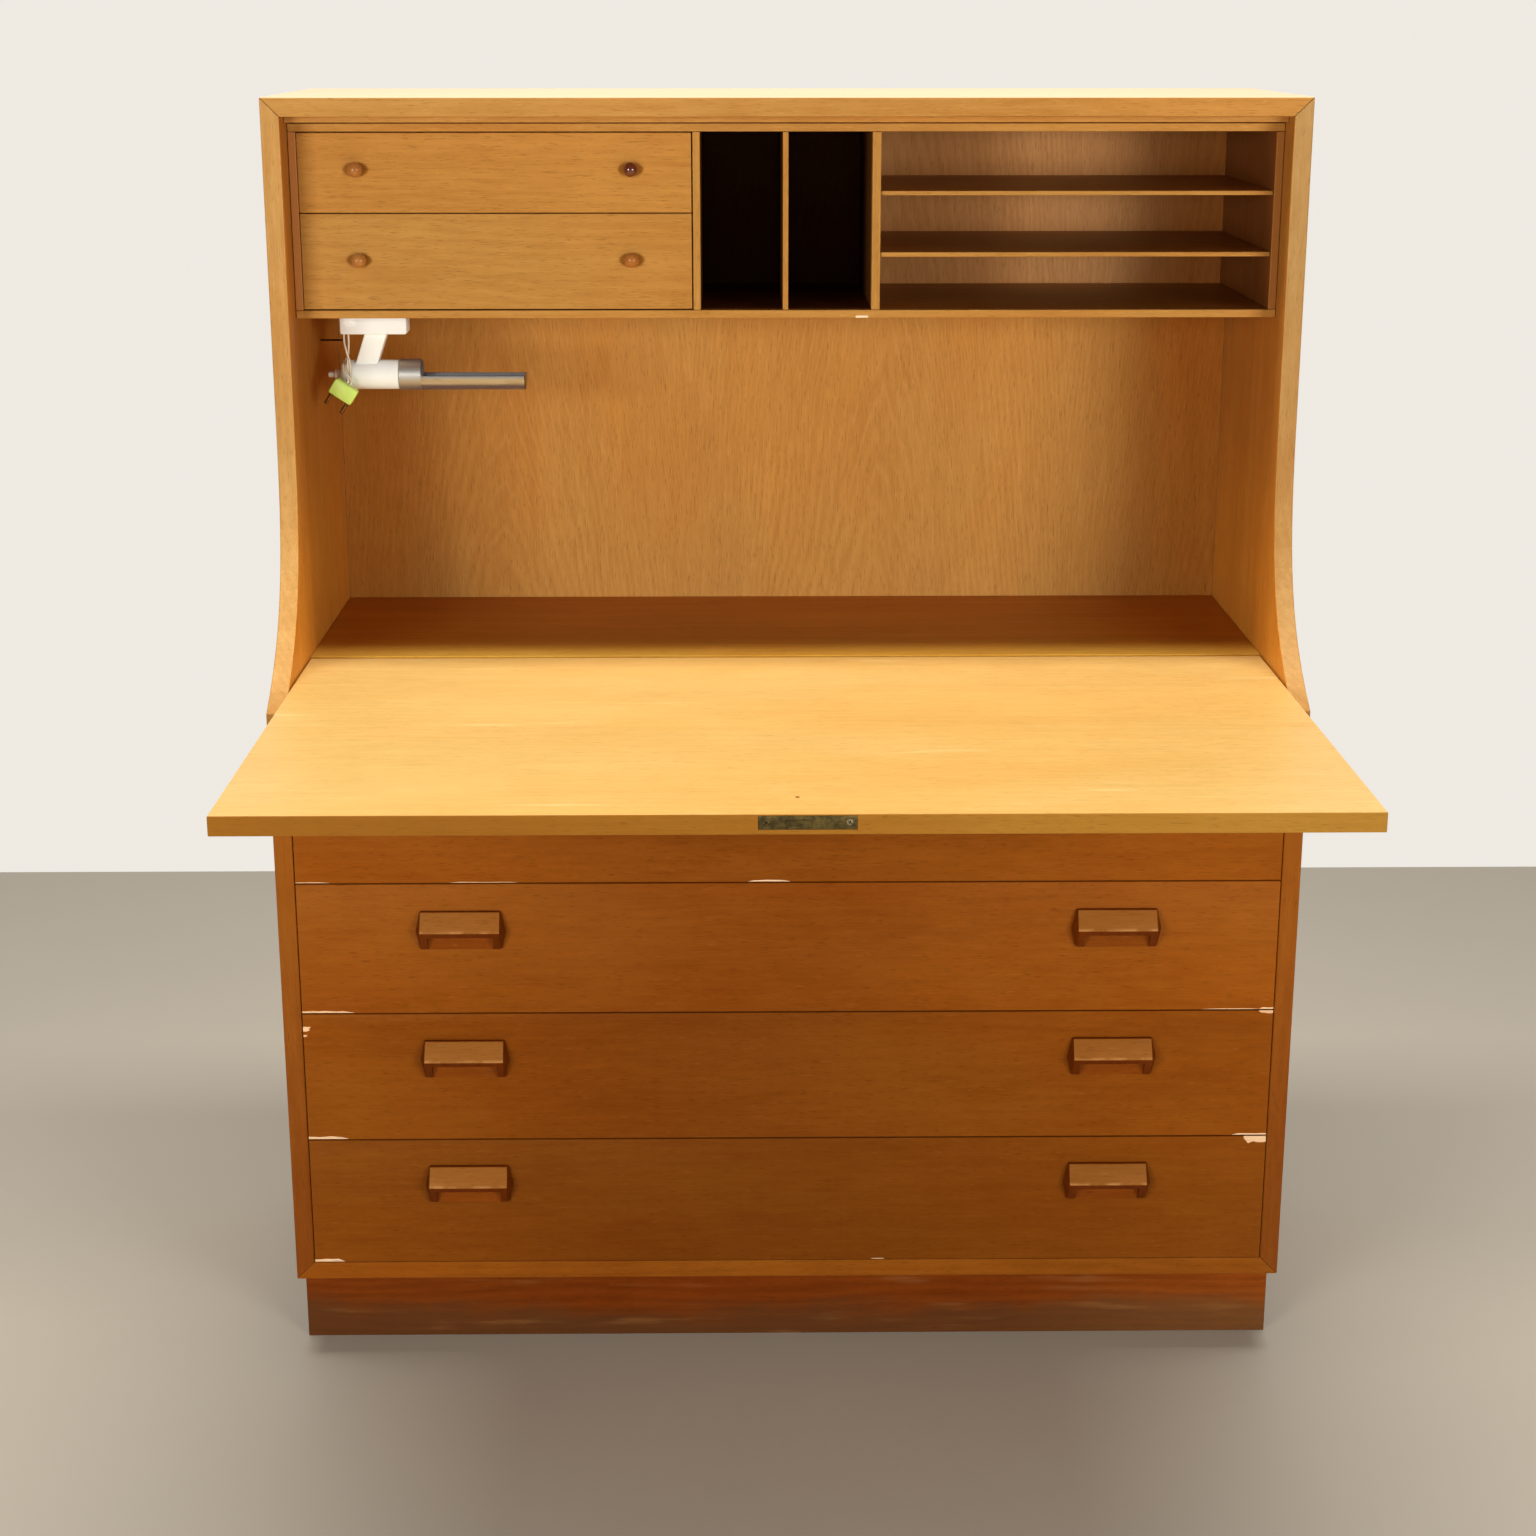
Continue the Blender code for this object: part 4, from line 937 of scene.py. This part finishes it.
def make_pulls():
    """Two carved pulls on each wide drawer, every one cut from its own piece of oak."""
    for number in range(1, 5):
        for side in SIDES:
            name = "pull_" + str(number) + "_" + side
            low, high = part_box(name)
            seed = 50 + 2 * number + (side == "left")
            woods = [oak("pull_oak_" + str(seed), OAK_PULL, GRAIN_X, seed, figure=0.1, rough=0.30,
                         wear=pull_lip_highlight(high.z - PULL_LIP_FOOT)),
                     oak("pull_ends_and_shade_" + str(seed), OAK_PULL_ENDS_AND_SHADE, GRAIN_Z, seed, rough=0.45),
                     oak("pull_hollow_" + str(seed), OAK_PULL_HOLLOW, GRAIN_X, seed, rough=0.45)]
            pull = new_object(name, pull_block(low, high, woods))
            bevel(pull, 0.0016, 4, 20)
            bake(pull)
            boolean(pull, scoop_cutter(low, high, woods))
            add_piece("carved_" + name, baked_mesh(pull, 25), "drawer_" + str(number), None,
                      [name])


# How far a lock screw lies from its end of the face plate
SCREW_INSET = 0.0064
# The hook's wire: its radius, its straight part, and its bend as distances back from the tip and up
HOOK_RADIUS = 0.0010
HOOK_REACH = 0.013
HOOK_BEND = ((0.004, 0), (0.0012, 0.0010), (0, 0.0035))


def make_lock():
    """The lock's face plate, with a countersunk screw near each end, and its bolt."""
    metal = old_metal("lock_metal", (0.150, 0.105, 0.030), (0.055, 0.040, 0.014), 0.42)
    screws = {"left": metal, "right": old_metal("screw_metal", (0.42, 0.36, 0.22), (0.16, 0.12, 0.06), 0.30)}
    low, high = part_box("lock_plate")
    plate = prism("plate", rectangle(low, high), low.y, high.y, material=metal)
    bevel(plate, 0.0002, 2)
    bake(plate)
    slot = rectangle(*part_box("lock_bolt"), GAP)
    boolean(plate, prism("slot", slot, low.y - 0.002, high.y + 0.002, material=metal))
    middle_z = (low.z + high.z) / 2
    for side, x in (("left", low.x + SCREW_INSET), ("right", high.x - SCREW_INSET)):
        sink = turned("sink", [(0, 0.0010), (0.0036, 0.0010), (0.0031, -0.0006), (0, -0.0006)],
                      (x, low.y, middle_z), TOWARDS_FRONT, 32)
        sink.data.materials.append(metal)
        boolean(plate, sink)
        dome = [(0, 0.0001), (0.0022, -0.0001), (0.0029, -0.0003), (0.0029, -0.0012), (0, -0.0012)]
        head = turned("head", dome, (x, low.y + 0.0002, middle_z), TOWARDS_FRONT, 32)
        bake(head)
        for turn in (0.5, 0.5 + math.pi / 2):
            bar = prism("bar", [(-0.0020, -0.0003), (0.0020, -0.0003), (0.0020, 0.0003), (-0.0020, 0.0003)],
                        -0.0006, 0.0006)
            bar.matrix_world = Matrix.Translation((x, low.y, middle_z)) @ Matrix.Rotation(turn, 4, 'Y')
            bpy.context.view_layer.update()
            boolean(head, bar)
        add_piece("screw_" + side, baked_mesh(head, 30), "flap", [screws[side]])
    add_piece("lock_face_plate", baked_mesh(plate, 30), "flap", None, ["lock_plate"])
    paint("lock_bolt", metal)


def make_hook():
    """A bent wire hook in the left side panel."""
    iron = old_metal("hook_iron", (0.055, 0.045, 0.040), (0.022, 0.016, 0.012), 0.40)
    low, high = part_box("wall_hook")
    y = (low.y + high.y) / 2
    z = low.z + HOOK_RADIUS
    tip = high.x - HOOK_RADIUS
    points = [Vector((low.x, y, z)), Vector((low.x + HOOK_REACH, y, z)),
              *(Vector((tip - back, y, z + up)) for back, up in HOOK_BEND), Vector((tip, y, high.z))]
    wire_piece("bent_hook", smooth_route(points, 5), HOOK_RADIUS, "case", iron, ["wall_hook"])


# ---- Wide drawer fronts with chipped veneer ----

CHIP_DEPTH = 0.0009
CHIP_OVERRUN = 0.002
# Each chip by drawer: how far its ends lie from the drawer's middle, and its height
LOWER_EDGE_CHIPS = {
    1: [(-0.5058, -0.469, 0.0012), (-0.352, -0.273, 0.0010), (-0.042, 0.001, 0.0022)],
    2: [(-0.5058, -0.450, 0.0026), (0.427, 0.492, 0.0012), (0.490, 0.5058, 0.0024)],
    3: [(-0.5058, -0.463, 0.0034), (0.468, 0.5058, 0.0022)],
    4: [(-0.5058, -0.473, 0.0036), (0.087, 0.104, 0.0012)],
}
UPPER_EDGE_CHIPS = {3: [(0.490, 0.5058, 0.0028)], 4: [(0.481, 0.5058, 0.0075)]}
# Each chip in a drawer's left end: how far it lies below the top, its height and its width
SIDE_CHIPS = {3: [(0.0134, 0.0055, 0.0085), (0.0225, 0.0022, 0.0048)]}
# Such a chip's outline, in parts of its width and of its height
SIDE_CHIP_SHAPE = ((1.0, 0.0), (0.75, 0.5), (0.9, 0.7), (0.4, 1.0))


def chip_outline(start, end, edge, height, seed):
    """A splintered outline: ragged along the grain, tapering at its free ends, past the edge outside."""
    rng = random.Random(seed)
    steps = max(5, int(abs(end - start) / 0.006))
    outside = edge - math.copysign(CHIP_OVERRUN, height)
    points = [(end, outside), (start, outside)]
    for i in range(steps + 1):
        t = i / steps
        taper = min(1.0, 5.0 * t if abs(start) < 0.5 else 1.0, 5.0 * (1 - t) if abs(end) < 0.5 else 1.0)
        reach = height * (0.25 + 0.75 * taper) * rng.uniform(0.75, 1.1)
        points.append((start + (end - start) * t, edge + reach))
    return points


def make_drawer_fronts():
    """Four fronts, the lower two painted darker as shade, with bare wood where the veneer has chipped away.
    """
    bare = oak("bare_core", BARE_WOOD, GRAIN_X, 77, figure=0.2, rough=0.75)
    for number in range(1, 5):
        name = "drawer_front_" + str(number)
        low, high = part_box(name)
        tones = [tuple(DRAWER_SHADE[number] * part for part in tone) for tone in OAK_DRAWER]
        veneer = oak("drawer_oak_" + str(number), tones, GRAIN_X, 10 + number, figure=0.12, wear=front_painted_shade)
        front = prism(name, rectangle(low, high), low.y, high.y, material=veneer)
        bevel(front, 0.0004, 2)
        bake(front)
        chips = [chip_outline(a, b, low.z, h, 100 * number + i)
                 for i, (a, b, h) in enumerate(LOWER_EDGE_CHIPS.get(number, []))]
        chips += [chip_outline(a, b, high.z, -h, 200 * number + i)
                  for i, (a, b, h) in enumerate(UPPER_EDGE_CHIPS.get(number, []))]
        for drop, tall, wide in SIDE_CHIPS.get(number, []):
            top = high.z - drop
            ragged = [(low.x + across * wide, top - down * tall) for across, down in SIDE_CHIP_SHAPE]
            chips.append([(low.x - CHIP_OVERRUN, top), *ragged, (low.x - CHIP_OVERRUN, top - tall)])
        for chip in chips:
            boolean(front, prism("chip", chip, low.y - CHIP_OVERRUN, low.y + CHIP_DEPTH, material=bare))
        add_piece("veneered_front_" + str(number), baked_mesh(front, 30), "drawer_" + str(number),
                  None, [name])


# ---- Materials of the boards that keep their CAD shape ----

def paint_oak(node, *plan, **finish):
    paint(node, oak("oak_" + node, *plan, **finish))


def paint_boards():
    """Every board's own cut of oak, pine in the drawer boxes, steel in the pivots."""
    plans = {
        "bottom_panel": (OAK_LOW, GRAIN_X, 4),
        "top_stop_strip": (OAK_FRAME, GRAIN_X, 5),
        "lower_top_panel": (OAK_DESK_SHADED, GRAIN_X, 8),
        "front_rail": (OAK_DRAWER, GRAIN_X, 9),
        "unit_top": (OAK_SMALL, GRAIN_X, 15),
    }
    for node, (tones, grain, seed) in plans.items():
        paint_oak(node, tones, grain, seed)
    for side, seed in (("left", 1), ("right", 2)):
        paint("side_panel_" + side, oak("oak_side_" + side, OAK_FRAME, GRAIN_Z, seed, wear=side_light_shade_and_knocks))
        paint_oak("unit_side_" + side, OAK_INSIDE_SHADED, GRAIN_Z, 16 + seed, wear=unit_side_shading)
    for level, seed in (("upper", 22), ("lower", 23)):
        paint_oak("shelf_" + level, OAK_SMALL, GRAIN_X, seed, wear=shelf_shade)
        paint_oak("small_front_" + level, OAK_SMALL, GRAIN_X, seed + 2, wear=small_front_knob_shadows(level))
    paint("top_panel", oak("oak_top", OAK_FRAME, GRAIN_X, 3, rough=0.34, wear=top_sheen))
    paint("back_panel", oak("oak_back", OAK_BACK, GRAIN_Z, 6, figure=0.42, leaf=BACK_LEAF, wear=back_light_and_shade))
    paint_oak("desk_panel", OAK_DESK_SHADED, GRAIN_X, 7, wear=desk_painted_shadow)
    paint_oak("unit_bottom", OAK_SMALL, GRAIN_X, 16, wear=unit_bottom_shade_and_splinter)
    for side, seed in (("left", 19), ("middle", 20), ("right", 21)):
        paint_oak("divider_" + side, OAK_SMALL, GRAIN_Z, seed, wear=pigeonhole_shade)
    paint_oak("flap", OAK_FLAP, GRAIN_X, 30, rough=0.40, wear=flap_wear_and_shade)
    paint_oak("plinth_front", OAK_PLINTH, GRAIN_X, 31, figure=0.5, wear=plinth_wear)
    for side in SIDES:
        paint_oak("plinth_" + side, OAK_PLINTH, GRAIN_Y, 32, wear=plinth_wear)
    for number in range(1, 5):
        node = "drawer_box_" + str(number)
        paint(node, oak("wood_" + node, PINE, GRAIN_X, 60 + number, rough=0.6))
    for level in ("upper", "lower"):
        paint("small_box_" + level, oak("small_box_wood_" + level, PINE, GRAIN_X, 66, rough=0.6))
    pin_metal = old_metal("pivot_steel", (0.40, 0.38, 0.35), (0.18, 0.15, 0.12), 0.3)
    for side in SIDES:
        paint("hinge_pin_" + side, pin_metal)


# ---- Stage, light and camera ----

def make_stage():
    """A floor that ends behind the desk, where the backdrop begins."""
    shape = bmesh.new()
    bmesh.ops.create_grid(shape, x_segments=2, y_segments=2, size=1.0)
    for vert in shape.verts:
        vert.co.x *= FLOOR_HALF
        vert.co.y = FLOOR_NEAR + (FLOOR_FAR - FLOOR_NEAR) * (vert.co.y + 1) / 2
    new_object("floor", finished_mesh("floor", shape, [floor_material()]))


def area_light(name, place, target, size, power):
    """A soft rectangular light that points at a target."""
    light = bpy.data.lights.new(name, 'AREA')
    light.shape = 'RECTANGLE'
    light.size, light.size_y = size
    light.energy = power
    light.color = LAMP_COLOUR
    obj = new_object(name, light)
    obj.location = place
    obj.rotation_euler = (Vector(target) - Vector(place)).to_track_quat('-Z', 'Y').to_euler()


def make_light():
    """A strip high above the flap, a soft light at each front side, and a bright backdrop."""
    area_light("ceiling_light", CEILING_PLACE, (*CEILING_PLACE[:2], 0.0), CEILING_SIZE, CEILING_POWER)
    for name, x in (("left_light", -SIDE_PLACE[0]), ("right_light", SIDE_PLACE[0])):
        area_light(name, (x, *SIDE_PLACE[1:]), SIDE_TARGET, SIDE_SIZE, SIDE_POWER)
    world = bpy.data.worlds.new("studio")
    bpy.context.scene.world = world
    world.use_nodes = True
    nodes = world.node_tree.nodes
    links = world.node_tree.links
    backdrop = nodes.new("ShaderNodeBackground")
    backdrop.inputs["Color"].default_value = (1.0, 0.955, 0.885, 1)
    backdrop.inputs["Strength"].default_value = BACKDROP
    room = nodes["Background"]
    room.inputs["Color"].default_value = (1.0, 0.94, 0.85, 1)
    room.inputs["Strength"].default_value = AMBIENT
    direction = nodes.new("ShaderNodeSeparateXYZ")
    links.new(nodes.new("ShaderNodeTexCoord").outputs["Generated"], direction.inputs[0])
    behind = nodes.new("ShaderNodeMapRange")
    behind.inputs["From Min"].default_value = BACKDROP_EDGE[0]
    behind.inputs["From Max"].default_value = BACKDROP_EDGE[1]
    links.new(direction.outputs["Y"], behind.inputs["Value"])
    chooser = nodes.new("ShaderNodeMixShader")
    links.new(behind.outputs["Result"], chooser.inputs[0])
    links.new(room.outputs[0], chooser.inputs[1])
    links.new(backdrop.outputs[0], chooser.inputs[2])
    links.new(chooser.outputs[0], nodes["World Output"].inputs["Surface"])
    bpy.context.scene.view_settings.view_transform = 'Standard'


def make_camera():
    camera = bpy.data.cameras.new("camera")
    camera.lens = CAMERA_LENS
    camera.sensor_width = 36
    obj = new_object("camera", camera)
    obj.location = CAMERA_PLACE
    obj.rotation_euler = (CAMERA_PITCH, 0, CAMERA_YAW)
    bpy.context.scene.camera = obj


make_camera()
make_flex()
make_lamp()
make_knobs()
make_pulls()
make_lock()
make_hook()
make_drawer_fronts()
paint_boards()
make_stage()
make_light()
